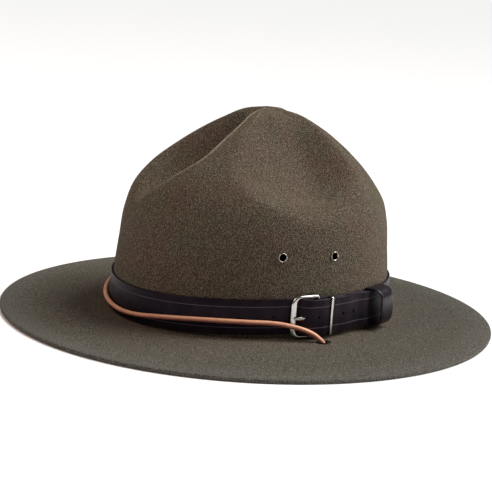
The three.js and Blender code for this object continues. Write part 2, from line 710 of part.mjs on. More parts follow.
// Ring round the strap, drawn across it and pushed along it
function ringRound(outer, hole, from, wide, steps, shear) {
  outer.holes.push(hole);
  const geometry = new THREE.ExtrudeGeometry(outer, { depth: wide, steps, curveSegments: 5, bevelEnabled: false });
  const place = geometry.attributes.position;
  for (let i = 0; i < place.count; i += 1) {
    const out = place.getX(i);
    const far = wide - place.getZ(i);
    const along = from + far + shear * out * (1 - far / wide);
    place.setXYZ(i, along, place.getY(i), out);
  }
  return wrapShape(geometry);
}

function wireKeeper() {
  const high = STRAP_WIDTH / 2 + SIDE_GAP;
  const back = WIRE_BACK + WIRE_THICK / 2;
  const front = WIRE_FRONT - WIRE_THICK / 2;
  const outer = roundedRectangle(
    back - WIRE_THICK, -high - WIRE_THICK, front + WIRE_THICK, high + WIRE_THICK, WIRE_THICK * 1.2,
  );
  const hole = roundedRectangle(back, -high, front, high, WIRE_THICK * 0.2);
  return ringRound(outer, hole, WIRE_PLACE - WIRE_WIDTH / 2, WIRE_WIDTH, 1, 0);
}

add('wire_keeper', wireKeeper(), NICKEL);

// Straight at the back and bulged in front, where out is the shape's X
function bulgedLoop(back, edge, bulge, high, corner) {
  const shape = new THREE.Shape();
  shape.moveTo(back, -high + corner);
  shape.lineTo(back + corner, -high);
  shape.lineTo(edge, -high);
  shape.bezierCurveTo(bulge, -high, bulge, -high * 0.5, bulge, 0);
  shape.bezierCurveTo(bulge, high * 0.5, bulge, high, edge, high);
  shape.lineTo(back + corner, high);
  shape.lineTo(back, high - corner);
  shape.lineTo(back, -high + corner);
  return shape;
}

function leatherKeeper() {
  const high = STRAP_WIDTH / 2 + SIDE_GAP;
  const edge = SECOND_IN_KEEPER + LEATHER / 2;
  const outer = bulgedLoop(GAP, edge, KEEPER_BULGE, high + KEEPER_WALL, KEEPER_WALL / 2);
  const hole = bulgedLoop(GAP + KEEPER_WALL, edge, KEEPER_BULGE - KEEPER_WALL, high, 0.1);
  return ringRound(outer, hole, KEEPER_PLACE, KEEPER_WIDTH, 4, KEEPER_SHEAR);
}

add('leather_keeper', leatherKeeper(), BLACK);

// The lace's route on the wearer's left, from the brim slot to the middle of the front: the
// angle from the front in degrees, the height above the floor and the distance off the felt
const LACE_LEFT = [
  { angle: 94.5, high: 5.2, out: 12.4 },
  { angle: 94.25, high: 7.2, out: 12.2 },
  { angle: 93.1, high: 9.1, out: 11.4 },
  { angle: 91.9, high: 11.0, out: 10.6 },
  { angle: 89.8, high: 13.2, out: 9.6 },
  { angle: 87.6, high: 14.8, out: 8.6 },
  { angle: 85.2, high: 16.0, out: 7.5 },
  { angle: 82.4, high: 17.0, out: 6.5 },
  { angle: 79.4, high: 17.7, out: 5.1 },
  { angle: 75.0, high: 18.1, out: 4.0 },
  { angle: 68.0, high: 18.1, out: 3.7 },
  { angle: 58.0, high: 17.7, out: 3.7 },
  { angle: 48.0, high: 16.7, out: 3.7 },
  { angle: 38.0, high: 15.0, out: 3.7 },
  { angle: 29.0, high: 13.0, out: 3.7 },
  { angle: 20.0, high: 10.8, out: 3.7 },
  { angle: 11.0, high: 9.5, out: 3.7 },
  { angle: 2.0, high: 9.5, out: 3.7 },
];
// The same on the right, where no buckle lies under it, from the front to the slot
const LACE_RIGHT = [
  { angle: 7.0, high: 10.3, out: 3.7 },
  { angle: 16.0, high: 11.5, out: 3.7 },
  { angle: 26.0, high: 13.1, out: 3.7 },
  { angle: 36.0, high: 15.2, out: 3.7 },
  { angle: 46.0, high: 17.2, out: 3.7 },
  { angle: 56.0, high: 18.6, out: 3.7 },
  { angle: 66.0, high: 19.0, out: 3.7 },
  { angle: 77.0, high: 18.0, out: 3.8 },
  { angle: 83.5, high: 16.4, out: 4.7 },
  { angle: 87.6, high: 14.3, out: 6.6 },
  { angle: 90.4, high: 12.3, out: 8.9 },
  { angle: 92.2, high: 10.2, out: 10.7 },
  { angle: 93.9, high: 7.8, out: 12.0 },
  { angle: 94.5, high: 5.2, out: 12.4 },
];
// Under the brim, from a slot to the middle of the back
const LACE_UNDER = [
  { angle: 94.7, high: 3.5, out: 12.4 },
  { angle: 95.6, high: 1.95, out: 12.7 },
  { angle: 97.2, high: 1.65, out: 12.9 },
  { angle: 99.8, high: 1.7, out: 12.8 },
  { angle: 105.5, high: 1.75, out: 11.9 },
  { angle: 114.0, high: 1.75, out: 9.8 },
  { angle: 128.0, high: 1.75, out: 8.0 },
  { angle: 145.0, high: 1.75, out: 7.2 },
  { angle: 162.0, high: 1.75, out: 7.0 },
];
const LACE_BACK = { angle: 180.0, high: 1.75, out: 7.0 };
const LACE_PART = 0.25; // its two ends meet in the left slot with this between them

function laceRoute() {
  const place = ({ angle, high, out }, sign) => offWall(radians(sign * angle), high, out);
  const points = [
    ...LACE_LEFT.map((row) => place(row, 1)),
    ...LACE_RIGHT.map((row) => place(row, -1)),
    ...LACE_UNDER.map((row) => place(row, -1)),
    place(LACE_BACK, 1),
    ...[...LACE_UNDER].reverse().map((row) => place(row, 1)),
  ];
  const start = points[0];
  const last = points[points.length - 1];
  const away = last.clone().sub(start).normalize();
  points.push(start.clone().addScaledVector(away, LACE_PART));
  return points;
}

function lace() {
  const path = new THREE.CatmullRomCurve3(laceRoute(), false, 'centripetal');
  const section = new THREE.Shape();
  for (let i = 0; i < LACE_SIDES; i += 1) {
    const turn = ((i + 0.5) * 2 * Math.PI) / LACE_SIDES;
    const [x, y] = [(LACE / 2) * Math.cos(turn), (LACE / 2) * Math.sin(turn)];
    if (i === 0) section.moveTo(x, y);
    else section.lineTo(x, y);
  }
  section.closePath();
  return new THREE.ExtrudeGeometry(section, { steps: LACE_STEPS, extrudePath: path, bevelEnabled: false });
}

add('chin_lace', lace(), TAN);

export default hat;
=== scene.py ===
# %% [markdown]
# # A campaign hat
# The hat is a stiff wool felt shell with a pinched crown and a flat brim. A polished leather
# strap runs round the crown and is buckled on the wearer's left, and a thin tan lace lies
# round the front and goes down through the brim on each side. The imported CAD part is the
# frame that everything here is built on, so the sizes below repeat its driving dimensions.

# %% Load the frame
import math

import bpy
import numpy as np
from mathutils import Matrix, Vector


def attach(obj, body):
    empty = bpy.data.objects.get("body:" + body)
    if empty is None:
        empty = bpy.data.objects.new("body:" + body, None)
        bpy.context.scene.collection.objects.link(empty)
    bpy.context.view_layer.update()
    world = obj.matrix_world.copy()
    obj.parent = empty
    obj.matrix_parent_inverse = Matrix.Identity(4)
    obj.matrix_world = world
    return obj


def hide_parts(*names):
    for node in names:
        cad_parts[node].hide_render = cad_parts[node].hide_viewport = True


MM = 0.001  # Blender works in metres and the tables below in millimetres
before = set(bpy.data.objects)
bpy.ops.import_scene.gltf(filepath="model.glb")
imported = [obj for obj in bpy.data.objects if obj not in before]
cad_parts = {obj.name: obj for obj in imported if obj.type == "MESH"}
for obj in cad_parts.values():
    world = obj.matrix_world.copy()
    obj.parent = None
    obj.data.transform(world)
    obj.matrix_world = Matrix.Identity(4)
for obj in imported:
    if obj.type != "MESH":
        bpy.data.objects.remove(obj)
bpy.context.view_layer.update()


def new_object(name, data):
    """An object in the scene that shows a mesh, a curve, a lamp or a camera."""
    thing = bpy.data.objects.new(name, data)
    bpy.context.scene.collection.objects.link(thing)
    return thing


# %% [markdown]
# ## The camera
# A photograph's angle is a direction, a distance and a lens. The camera looks from the
# wearer's left, a little from the front and slightly from above. It was also held a little
# askew, so its own up direction is turned by a roll.

# %% Camera
VIEW_AZIMUTH = 64.5  # degrees from the front towards the wearer's left
VIEW_ELEVATION = 12.16
VIEW_ROLL = 4.76
VIEW_DISTANCE = 1090  # mm
VIEW_HEIGHT = 60  # of the point looked at, before the framing
PICTURE = 492  # pixels
LENS_PIXELS = 1565  # focal length, in pixels
FRAMING = (8.8, -17.1)  # pixels that the looked-at point lies right of and below the middle
SENSOR = 36  # mm


def camera_axes():
    """Direction back to the camera, and the picture's right and up."""
    azimuth, elevation, roll = map(math.radians, (VIEW_AZIMUTH, VIEW_ELEVATION, VIEW_ROLL))
    level = math.cos(elevation)
    back = Vector((math.sin(azimuth) * level, -math.cos(azimuth) * level, math.sin(elevation)))
    right = Vector((math.cos(azimuth), math.sin(azimuth), 0))
    up = back.cross(right)
    turned_right = math.cos(roll) * right + math.sin(roll) * up
    turned_up = -math.sin(roll) * right + math.cos(roll) * up
    return back, turned_right, turned_up


def make_camera():
    back, right, up = camera_axes()
    place = Vector((0, 0, VIEW_HEIGHT)) + back * VIEW_DISTANCE
    ahead = (-back * LENS_PIXELS - right * FRAMING[0] + up * FRAMING[1]).normalized()
    picture_up = (up - ahead * up.dot(ahead)).normalized()
    picture_right = ahead.cross(picture_up)
    turn = Matrix((picture_right, picture_up, -ahead)).transposed()
    data = bpy.data.cameras.new("camera")
    data.sensor_width = SENSOR
    data.lens = SENSOR * LENS_PIXELS / PICTURE
    camera = new_object("camera", data)
    camera.matrix_world = Matrix.Translation(place * MM) @ turn.to_4x4()
    bpy.context.scene.camera = camera
    print("camera lens:", round(data.lens, 1), "mm, at", [round(v) for v in place], "mm")


make_camera()

# %% [markdown]
# ## The shape of the crown
# The crown is a rule: at each height it is an oval, and four ridges and four dents push that
# oval out and in. A short table says how far, and smooth curves run between its rows. Its flat
# columns say how much of the way from a ridge to a dent's middle still belongs to the ridge, at
# the front, the sides and the back. All that lies on the crown asks this rule for the felt.

# %% The crown's rule
CROWN_LENGTH = 197.2  # outside, front to back, at the brim
CROWN_WIDTH = 174.4
CROWN_HEIGHT = 138.4
CROWN_WALL = 2.2
BRIM_LENGTH = 348
BRIM_WIDTH = 322
BRIM_WALL = 2.8
BRIM_RISE = 5.2  # from the edge up to the crown, at the back
BRIM_DIP = 4.6  # less at the front than at the back
ROOT_RADIUS = 0.9
RIDGE_ANGLE = 45  # degrees between the front and each front ridge, before the turns below
RIDGE_FORWARD = 7  # degrees that the front ridges are turned towards the front
DENT_BACK = 6  # degrees that the side dents' middles are turned towards the back

ROOT = BRIM_WALL + BRIM_RISE
BACK = CROWN_LENGTH / 2
SIDE = CROWN_WIDTH / 2

CROWN_COLUMNS = (
    "at", "ridge", "ridge_up", "dent", "dent_up", "front_flat", "side_flat", "back_flat", "side", "lean",
)
CROWN_ROWS = np.array([
    (0.00, 1.000, 0.000, 1.000, 0.000, 0.90, 0.90, 0.36, 1.00, 0.000),
    (0.10, 0.993, 0.100, 0.993, 0.100, 0.90, 0.90, 0.36, 1.00, 0.000),
    (0.20, 0.986, 0.200, 0.986, 0.200, 0.90, 0.90, 0.36, 1.00, 0.002),
    (0.32, 0.967, 0.330, 0.965, 0.330, 0.90, 0.90, 0.36, 1.00, 0.002),
    (0.44, 0.941, 0.482, 0.944, 0.460, 0.90, 0.90, 0.36, 1.00, 0.002),
    (0.53, 0.888, 0.597, 0.908, 0.545, 0.90, 0.78, 0.36, 1.00, 0.005),
    (0.61, 0.795, 0.691, 0.815, 0.590, 0.66, 0.42, 0.34, 1.00, 0.018),
    (0.70, 0.649, 0.786, 0.635, 0.633, 0.36, 0.17, 0.30, 1.00, 0.038),
    (0.78, 0.500, 0.864, 0.460, 0.717, 0.30, 0.12, 0.25, 0.95, 0.050),
    (0.86, 0.345, 0.929, 0.290, 0.828, 0.28, 0.10, 0.20, 0.75, 0.056),
    (0.93, 0.195, 0.977, 0.168, 0.945, 0.26, 0.08, 0.12, 0.50, 0.046),
    (1.00, 0.000, 1.000, 0.000, 1.000, 0.20, 0.08, 0.10, 0.50, 0.015),
])
RIM = 1.3  # how round the rim between a ridge and a dent is


def column(name, at):
    """Smooth value of one of the table's columns at places between its rows."""
    places, values = CROWN_ROWS[:, 0], CROWN_ROWS[:, CROWN_COLUMNS.index(name)]
    steps = np.diff(values) / np.diff(places)
    widths = np.diff(places)
    inner = (steps[:-1] * widths[1:] + steps[1:] * widths[:-1]) / (widths[:-1] + widths[1:])
    slopes = np.concatenate(([steps[0]], inner, [steps[-1]]))
    k = np.clip(np.searchsorted(places, at, side="left") - 1, 0, len(places) - 2)
    wide = widths[k]
    t = (at - places[k]) / wide
    start = values[k] * (2 * t**3 - 3 * t**2 + 1) + slopes[k] * wide * (t**3 - 2 * t**2 + t)
    end = values[k + 1] * (3 * t**2 - 2 * t**3) + slopes[k + 1] * wide * (t**3 - t**2)
    return start + end


def dip_share(angle):
    """How much of the brim's dip a place has: all at the front and none at the back."""
    return ((1 + np.cos(angle)) / 2) ** 3


def smooth_share(share):
    """A share from 0 to 1 that starts and ends gently."""
    share = np.clip(share, 0, 1)
    return share**2 * (3 - 2 * share)


def crown_point(angle, at):
    """Points on the outside of the crown, the angle from the front to the wearer's left."""
    angle, at = np.broadcast_arrays(np.asarray(angle, float), np.asarray(at, float))
    forward = math.radians(RIDGE_FORWARD) * np.sin(2 * angle) * (0.5 + 0.5 * np.cos(angle))
    forward += math.radians(DENT_BACK) * np.sin(angle) * np.cos(2 * angle)
    wave = np.abs(np.sin(2 * (angle + forward - math.radians(RIDGE_ANGLE))))
    to_side = smooth_share(np.sin(angle) ** 2)
    to_back = smooth_share(0.5 - 3 * np.cos(angle))
    flat = column("front_flat", at)
    flat = flat + to_side * (column("side_flat", at) - flat)
    flat = flat + to_back * (column("back_flat", at) - flat)
    depth = 1 - (1 - column("side", at)) * np.sin(angle) ** 2
    ridge = 1 - depth * np.clip((wave - flat) / (1 - flat), 0, 1) ** RIM
    radius = column("dent", at) + ridge * (column("ridge", at) - column("dent", at))
    up = column("dent_up", at) + ridge * (column("ridge_up", at) - column("dent_up", at))
    x = SIDE * radius * np.sin(angle)
    y = BACK * (column("lean", at) - radius * np.cos(angle))
    z = ROOT + CROWN_HEIGHT * up - BRIM_DIP * dip_share(angle) * (1 - up)
    return np.stack((x, y, z), -1)


WALL_END = 0.6  # places on the crown's plain wall end here
HALVINGS = 32


def crown_place(angle, height):
    """Places on the way up the crown's wall that lie at a height above the floor."""
    low = np.zeros(np.shape(height))
    high = low + WALL_END
    for _ in range(HALVINGS):
        middle = (low + high) / 2
        below = crown_point(angle, middle)[..., 2] < height
        low = np.where(below, middle, low)
        high = np.where(below, high, middle)
    return (low + high) / 2


def outward(angle):
    """Level directions straight off the crown wall."""
    way = np.stack((BACK * np.sin(angle), -SIDE * np.cos(angle), 0 * angle), -1)
    return way / np.linalg.norm(way, axis=-1, keepdims=True)


def off_wall(angle, height, out):
    """Points by angle, height above the floor and distance off the felt."""
    angle, height, out = np.broadcast_arrays(*(np.asarray(v, float) for v in (angle, height, out)))
    point = crown_point(angle, crown_place(angle, height))
    point[..., 2] = height
    return point + outward(angle) * out[..., None]


def brim_height(angle, share):
    """Height of the brim's top, from 0 at its edge to 1 at the crown."""
    return BRIM_WALL + (BRIM_RISE - BRIM_DIP * dip_share(angle)) * share


print("crown peak at z", round(float(crown_point(0, 1)[2]), 1), "mm")

# %% [markdown]
# ## Helpers
# Every piece is a mesh in millimetres that is scaled to metres once, when it is made. Most of
# them are rings of points joined by faces. A closed mesh with its faces turned the right way
# has a positive volume, so that number tells if it has to be turned inside out. Trees of nodes
# are built with one small function, and the materials' noise, blends and bump with four more.

# %% Mesh helpers
def ring_faces(rings, around, loop=False, caps=False):
    """Faces between rings of points; a loop joins the last ring to the first, caps close both."""
    ring = np.arange(rings if loop else rings - 1)[:, None]
    spot = np.arange(around)[None, :]
    after = (ring + 1) % rings
    beside = (spot + 1) % around
    corners = (ring * around + spot, ring * around + beside, after * around + beside, after * around + spot)
    faces = np.stack(np.broadcast_arrays(*corners), -1).reshape(-1, 4).tolist()
    if caps:
        last = (rings - 1) * around
        faces += [list(range(around))[::-1], list(range(last, last + around))]
    return faces


def volume_of(points, faces):
    """Volume in cubic millimetres; it is negative where the faces point inwards."""
    total = 0.0
    for face in faces:
        first = points[face[0]]
        for i in range(1, len(face) - 1):
            total += float(np.dot(first, np.cross(points[face[i]], points[face[i + 1]])))
    return total / 6


def new_piece(name, points, faces, smooth=True):
    """A mesh object from points in millimetres, its faces turned outwards."""
    points = np.asarray(points, float)
    volume = volume_of(points, faces)
    if volume < 0:
        faces = [face[::-1] for face in faces]
    mesh = bpy.data.meshes.new(name)
    mesh.from_pydata((points * MM).tolist(), [], faces)
    mesh.polygons.foreach_set("use_smooth", [smooth] * len(mesh.polygons))
    piece = new_object(name, mesh)
    print(name, "has", len(mesh.polygons), "faces and", round(abs(volume)), "mm3")
    return piece


def keep_vectors(mesh, name, vectors):
    """Store one vector for each point of a mesh."""
    attribute = mesh.attributes.new(name, "FLOAT_VECTOR", "POINT")
    attribute.data.foreach_set("vector", np.asarray(vectors, float).ravel())


def dress(piece, material, slot, *nodes):
    """Give a piece its material and its body, and hide the CAD nodes that it stands for; the slot is not
    used.
    """
    piece.data.materials.clear()
    piece.data.materials.append(material)
    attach(piece, "root")
    if nodes:
        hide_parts(*nodes)


# %% [markdown]
# ## The chin lace
# The lace is a limp leather cord, so it comes first, as a round tube along one line. Its
# route lists an angle, a height and a distance off the felt: up from the left slot, round
# the front, down through the right slot and back to the left slot under the brim.

# %% Lace route
LACE = 3.2  # mm across
LACE_PART = 0.25  # between its two ends, which meet in the left slot
LACE_POINTS = 320

LACE_LEFT = [
    (94.5, 5.2, 12.4), (94.25, 7.2, 12.2), (93.1, 9.1, 11.4), (91.9, 11.0, 10.6),
    (89.8, 13.2, 9.6), (87.6, 14.8, 8.6), (85.2, 16.0, 7.5), (82.4, 17.0, 6.5),
    (79.4, 17.7, 5.1), (75.0, 18.1, 4.0), (68.0, 18.1, 3.7), (58.0, 17.7, 3.7),
    (48.0, 16.7, 3.7), (38.0, 15.0, 3.7), (29.0, 13.0, 3.7), (20.0, 10.8, 3.7),
    (11.0, 9.5, 3.7), (2.0, 9.5, 3.7),
]
LACE_RIGHT = [
    (7.0, 10.3, 3.7), (16.0, 11.5, 3.7), (26.0, 13.1, 3.7), (36.0, 15.2, 3.7),
    (46.0, 17.2, 3.7), (56.0, 18.6, 3.7), (66.0, 19.0, 3.7), (77.0, 18.0, 3.8),
    (83.5, 16.4, 4.7), (87.6, 14.3, 6.6), (90.4, 12.3, 8.9), (92.2, 10.2, 10.7),
    (93.9, 7.8, 12.0), (94.5, 5.2, 12.4),
]
LACE_UNDER = [
    (94.7, 3.5, 12.4), (95.6, 1.95, 12.7), (97.2, 1.65, 12.9), (99.8, 1.7, 12.8),
    (105.5, 1.75, 11.9), (114.0, 1.75, 9.8), (128.0, 1.75, 8.0), (145.0, 1.75, 7.2),
    (162.0, 1.75, 7.0),
]
LACE_BACK = (180.0, 1.75, 7.0)


def lace_corners():
    """The route's points: angle in degrees, height and distance off the felt in mm."""
    left = [(angle, high, out) for angle, high, out in LACE_LEFT]
    right = [(-angle, high, out) for angle, high, out in LACE_RIGHT + LACE_UNDER]
    under = [(angle, high, out) for angle, high, out in reversed(LACE_UNDER)]
    rows = np.array([*left, *right, LACE_BACK, *under])
    points = off_wall(np.radians(rows[:, 0]), rows[:, 1], rows[:, 2])
    away = points[-1] - points[0]
    last = points[0] + away / np.linalg.norm(away) * LACE_PART
    return np.vstack((points, last))


def lengths_of(line):
    """Distance along a line at each of its points."""
    return np.concatenate(([0], np.cumsum(np.linalg.norm(np.diff(line, axis=0), axis=1))))


def directions(line, loop=False):
    """Unit direction of a line at each of its points."""
    way = np.roll(line, -1, axis=0) - np.roll(line, 1, axis=0) if loop else np.gradient(line, axis=0)
    return way / np.linalg.norm(way, axis=1, keepdims=True)


def smooth_line(points, count):
    """Centripetal Catmull-Rom line through points, with a number of even steps."""
    ends = (2 * points[0] - points[1], 2 * points[-1] - points[-2])
    p = np.vstack((ends[0], points, ends[1]))
    knots = np.concatenate(([0], np.cumsum(np.linalg.norm(np.diff(p, axis=0), axis=1) ** 0.5)))
    fine = []
    for i in range(1, len(p) - 2):
        t = np.linspace(knots[i], knots[i + 1], 40, endpoint=i == len(p) - 3)[:, None]
        k = knots[i - 1:i + 3]
        a = [((k[j + 1] - t) * p[i - 1 + j] + (t - k[j]) * p[i + j]) / (k[j + 1] - k[j]) for j in range(3)]
        b = [((k[j + 2] - t) * a[j] + (t - k[j]) * a[j + 1]) / (k[j + 2] - k[j]) for j in range(2)]
        fine.append(((k[2] - t) * b[0] + (t - k[1]) * b[1]) / (k[2] - k[1]))
    fine = np.vstack(fine)
    lengths = lengths_of(fine)
    even = np.linspace(0, lengths[-1], count)
    return np.stack([np.interp(even, lengths, fine[:, axis]) for axis in range(points.shape[1])], -1)


def length_of(line):
    return float(np.linalg.norm(np.diff(line, axis=0), axis=1).sum())


lace_line = smooth_line(lace_corners(), LACE_POINTS)
print("lace length:", round(length_of(lace_line)), "mm")

# %% Lace tube
def tube(name, line, radius, sides=18):
    """A round tube along a line in millimetres, which keeps its flat places in metres."""
    way = directions(line)
    side = np.cross(way[0], (0, 0, 1.0))
    turns = np.arange(sides) * 2 * np.pi / sides
    rings, flat = [], []
    for point, tangent, length in zip(line, way, lengths_of(line)):
        side = side - tangent * np.dot(side, tangent)
        side /= np.linalg.norm(side)
        up = np.cross(side, tangent)
        ring = point + radius * (np.cos(turns)[:, None] * side + np.sin(turns)[:, None] * up)
        rings.append(ring)
        flat.append(np.column_stack((np.full(sides, length), radius * np.cos(turns), radius * np.sin(turns))))
    piece = new_piece(name, np.array(rings).reshape(-1, 3), ring_faces(len(line), sides, caps=True))
    keep_vectors(piece.data, "flat", np.array(flat) * MM)
    piece.data.set_sharp_from_angle(angle=math.radians(50))
    return piece


chin_lace = tube("lace", lace_line, LACE / 2)
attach(chin_lace, "root")
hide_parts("chin_lace")

# %% Node helpers
def add_node(tree, kind, links=None, values=None, **settings):
    """Add a node: its properties, the numbers on its sockets and what feeds them."""
    node = tree.nodes.new(kind)
    for name, value in settings.items():
        setattr(node, name, value)
    for socket, value in (values or {}).items():
        node.inputs[socket].default_value = value
    for socket, source in (links or {}).items():
        tree.links.new(source, node.inputs[socket])
    return node


def linear(hex_colour):
    """An sRGB hex colour as the linear numbers that the shader works in."""
    channels = [int(hex_colour[i:i + 2], 16) / 255 for i in (1, 3, 5)]
    return (*(c / 12.92 if c <= 0.04045 else ((c + 0.055) / 1.055) ** 2.4 for c in channels), 1)


def noise(tree, place, size, detail, rough=0.5):
    """Noise with lumps of a size in millimetres."""
    values = {"Scale": 1 / (size * MM), "Detail": detail, "Roughness": rough}
    return add_node(tree, "ShaderNodeTexNoise", {"Vector": place}, values).outputs["Fac"]


def ranged(tree, value, low, high, least=0.0, most=1.0):
    """A number carried over from between low and high to between a least and a most."""
    ends = {"From Min": low, "From Max": high, "To Min": least, "To Max": most}
    return add_node(tree, "ShaderNodeMapRange", {"Value": value}, ends).outputs["Result"]


def mixed(tree, share, under, over):
    """A hex colour laid by a share over another one, or over what a node gives."""
    links, values = {0: share}, {7: linear(over)}
    if isinstance(under, str):
        values[6] = linear(under)
    else:
        links[6] = under
    return add_node(tree, "ShaderNodeMix", links, values, data_type="RGBA").outputs[2]


def bumped(tree, height, strength, depth, under=None, **settings):
    """Bump of a depth in millimetres, on top of other bump if there is any."""
    links = {"Height": height} if under is None else {"Height": height, "Normal": under}
    values = {"Strength": strength, "Distance": depth * MM}
    return add_node(tree, "ShaderNodeBump", links, values, **settings).outputs["Normal"]


def new_material(name, **values):
    """A material with one Principled shader and constants on its own sockets."""
    material = bpy.data.materials.new(name)
    material.use_nodes = True
    shader = material.node_tree.nodes["Principled BSDF"]
    for socket, value in values.items():
        shader.inputs[socket.replace("_", " ").title().replace("Ior", "IOR")].default_value = value
    return material, material.node_tree, shader


# %% [markdown]
# ## Wool felt
# The hat is wool felt: fibres matted with steam and pressure, stiffened, and blocked over a
# wooden form. It scatters light softly and has no gloss, only a faint sheen where fibres stand
# up at a glancing angle. Its colour is a blend of dyed fibres, so it is mottled at two sizes,
# a fleck under a millimetre and a cloud of a few centimetres. The flecks of real fibres are ten
# times finer than a pixel here, so they are drawn as coarse as they need to show. The brim is
# painted greyer towards its edge, a painted sheen of the bright surroundings, and one fold of the
# crown is paler, partly worn by rubbing and partly a painted highlight along its crest.

# %% Felt material
CROWN_OLIVE = "#4B4534"
CROWN_BROWN = "#513F34"
BRIM_OLIVE = "#403E36"
FELT_EDGE_SHEEN = "#4F504C"
FELT_DEPTH = "#14110E"  # between the fibres
FELT_TIP = "#9A9084"  # fibres that stand up
FELT_CREST_RUB_AND_HIGHLIGHT = "#998A76"  # paler where a fold is worn by rubbing, and a painted highlight along its crest
FELT_SHEEN = "#C9BFA8"
FLECK = 0.7  # mm
CLOUD = 26
LUMP = 6
MOTTLE = (0.35, 0.65)  # of the clouds' noise, from all brown to all olive
BRIM_STARTS = (0.56, 0.66)  # shares of the way from the hat's middle to the brim's edge
# where the painted sheen towards the brim's edge starts and is full
EDGE_SHEEN_STARTS = (0.86, 0.99)
EDGE_SHEEN_MOST = 0.7
CREST_RUB_AND_HIGHLIGHT = (0.3, 0.55)  # of the clouds' noise, from no rubbing and painted highlight to all
DEEP = (0.5, 0.36)  # of the flecks' noise, from no dark to the most
DEEP_MOST = 0.7
TIPS = (0.51, 0.66)
TIPS_MOST = 0.5


def make_felt():
    material, tree, shader = new_material(
        "blocked wool felt", roughness=0.95, sheen_weight=0.12, sheen_roughness=0.5, specular_ior_level=0.15,
    )
    shader.inputs["Sheen Tint"].default_value = linear(FELT_SHEEN)
    place = add_node(tree, "ShaderNodeTexCoord").outputs["Object"]
    clouds = noise(tree, place, CLOUD, 4)
    crown = mixed(tree, ranged(tree, clouds, *MOTTLE), CROWN_BROWN, CROWN_OLIVE)
    sizes = (2 / (BRIM_WIDTH * MM), 2 / (BRIM_LENGTH * MM), 0)
    flat = add_node(tree, "ShaderNodeMapping", {"Vector": place}, {"Scale": sizes}).outputs["Vector"]
    out = add_node(tree, "ShaderNodeVectorMath", {0: flat}, operation="LENGTH").outputs["Value"]
    body = mixed(tree, ranged(tree, out, *BRIM_STARTS), crown, BRIM_OLIVE)
    # painted sheen: the brim is painted greyer towards its edge
    edge_sheened = mixed(tree, ranged(tree, out, *EDGE_SHEEN_STARTS, most=EDGE_SHEEN_MOST), body, FELT_EDGE_SHEEN)
    crest = add_node(tree, "ShaderNodeAttribute", attribute_name="crest").outputs["Fac"]
    rub_and_highlight_patches = add_node(
        tree, "ShaderNodeMapRange", {"Value": clouds, "To Max": crest},
        {"From Min": CREST_RUB_AND_HIGHLIGHT[0], "From Max": CREST_RUB_AND_HIGHLIGHT[1]},
    ).outputs["Result"]
    # the fold's crest painted paler: partly rubbing, partly a painted highlight
    rubbed_and_highlit = mixed(tree, rub_and_highlight_patches, edge_sheened, FELT_CREST_RUB_AND_HIGHLIGHT)
    fleck = noise(tree, place, FLECK, 2, rough=0.6)
    shaded = mixed(tree, ranged(tree, fleck, *DEEP, most=DEEP_MOST), rubbed_and_highlit, FELT_DEPTH)
    colour = mixed(tree, ranged(tree, fleck, *TIPS, most=TIPS_MOST), shaded, FELT_TIP)
    tree.links.new(colour, shader.inputs["Base Color"])
    low = bumped(tree, noise(tree, place, LUMP, 2), 0.25, 0.8)
    tree.links.new(bumped(tree, fleck, 1.0, 0.6, under=low), shader.inputs["Normal"])
    return material


felt = make_felt()
print("felt nodes:", len(felt.node_tree.nodes))

# %% [markdown]
# ## The felt shell
# The shell is one closed mesh, because the real crown and brim are one piece of felt. Rings run
# from the cut edge of the brim in to the crown and up to the peak, and back down inside. The
# inner wall is the outer one moved in by the thickness of the felt, along its normals. A rule
# gives each ring, so this is mesh code in a few arrays, and the holes are cut at the end.

# %% Shell rings
AROUND = 320  # points in a ring
EDGE_ROUND = 1.0  # mm, the cut edge's corners
CROWN_RINGS = 96
BRIM_RINGS = 26
BRIM_END = 0.985  # share of the brim where the corner's rings take over
CROWN_END = 0.992  # share of the crown where the peak's fan of triangles takes over
CREST_SPAN = 2  # points to each side that a fold is judged by
CREST_BEND = (0.06, 0.2)  # per mm, the least and the most
CREST_ENDS = (0.70, 0.78)  # cosines of the angle from the front, where the rubbing and painted highlight start and are full

round_angles = np.arange(AROUND) * 2 * np.pi / AROUND


def brim_top(share):
    """A ring on the brim's top, from 0 at its edge to 1 at the crown."""
    length = BRIM_LENGTH / 2 + (BACK + ROOT_RADIUS - BRIM_LENGTH / 2) * share
    width = BRIM_WIDTH / 2 + (SIDE + ROOT_RADIUS - BRIM_WIDTH / 2) * share
    height = brim_height(round_angles, share)
    return np.stack((width * np.sin(round_angles), -length * np.cos(round_angles), height), -1)


def edge_ring(turn):
    """A ring of the rounded edge, the turn in degrees from straight down to straight up."""
    side = math.cos(math.radians(turn))
    share = EDGE_ROUND * (1 - side) / (BRIM_LENGTH / 2 - BACK)
    ring = brim_top(share)
    middle = EDGE_ROUND if turn <= 0 else BRIM_WALL - EDGE_ROUND
    ring[:, 2] = middle + EDGE_ROUND * math.sin(math.radians(turn))
    return ring


def root_ring(turn):
    """A ring of the corner where the brim turns up, the turn in degrees from the brim's side."""
    out = ROOT_RADIUS * (1 + math.cos(math.radians(turn)))
    up = ROOT_RADIUS * (1 + math.sin(math.radians(turn)))
    return off_wall(round_angles, brim_height(round_angles, 1) + up, out)


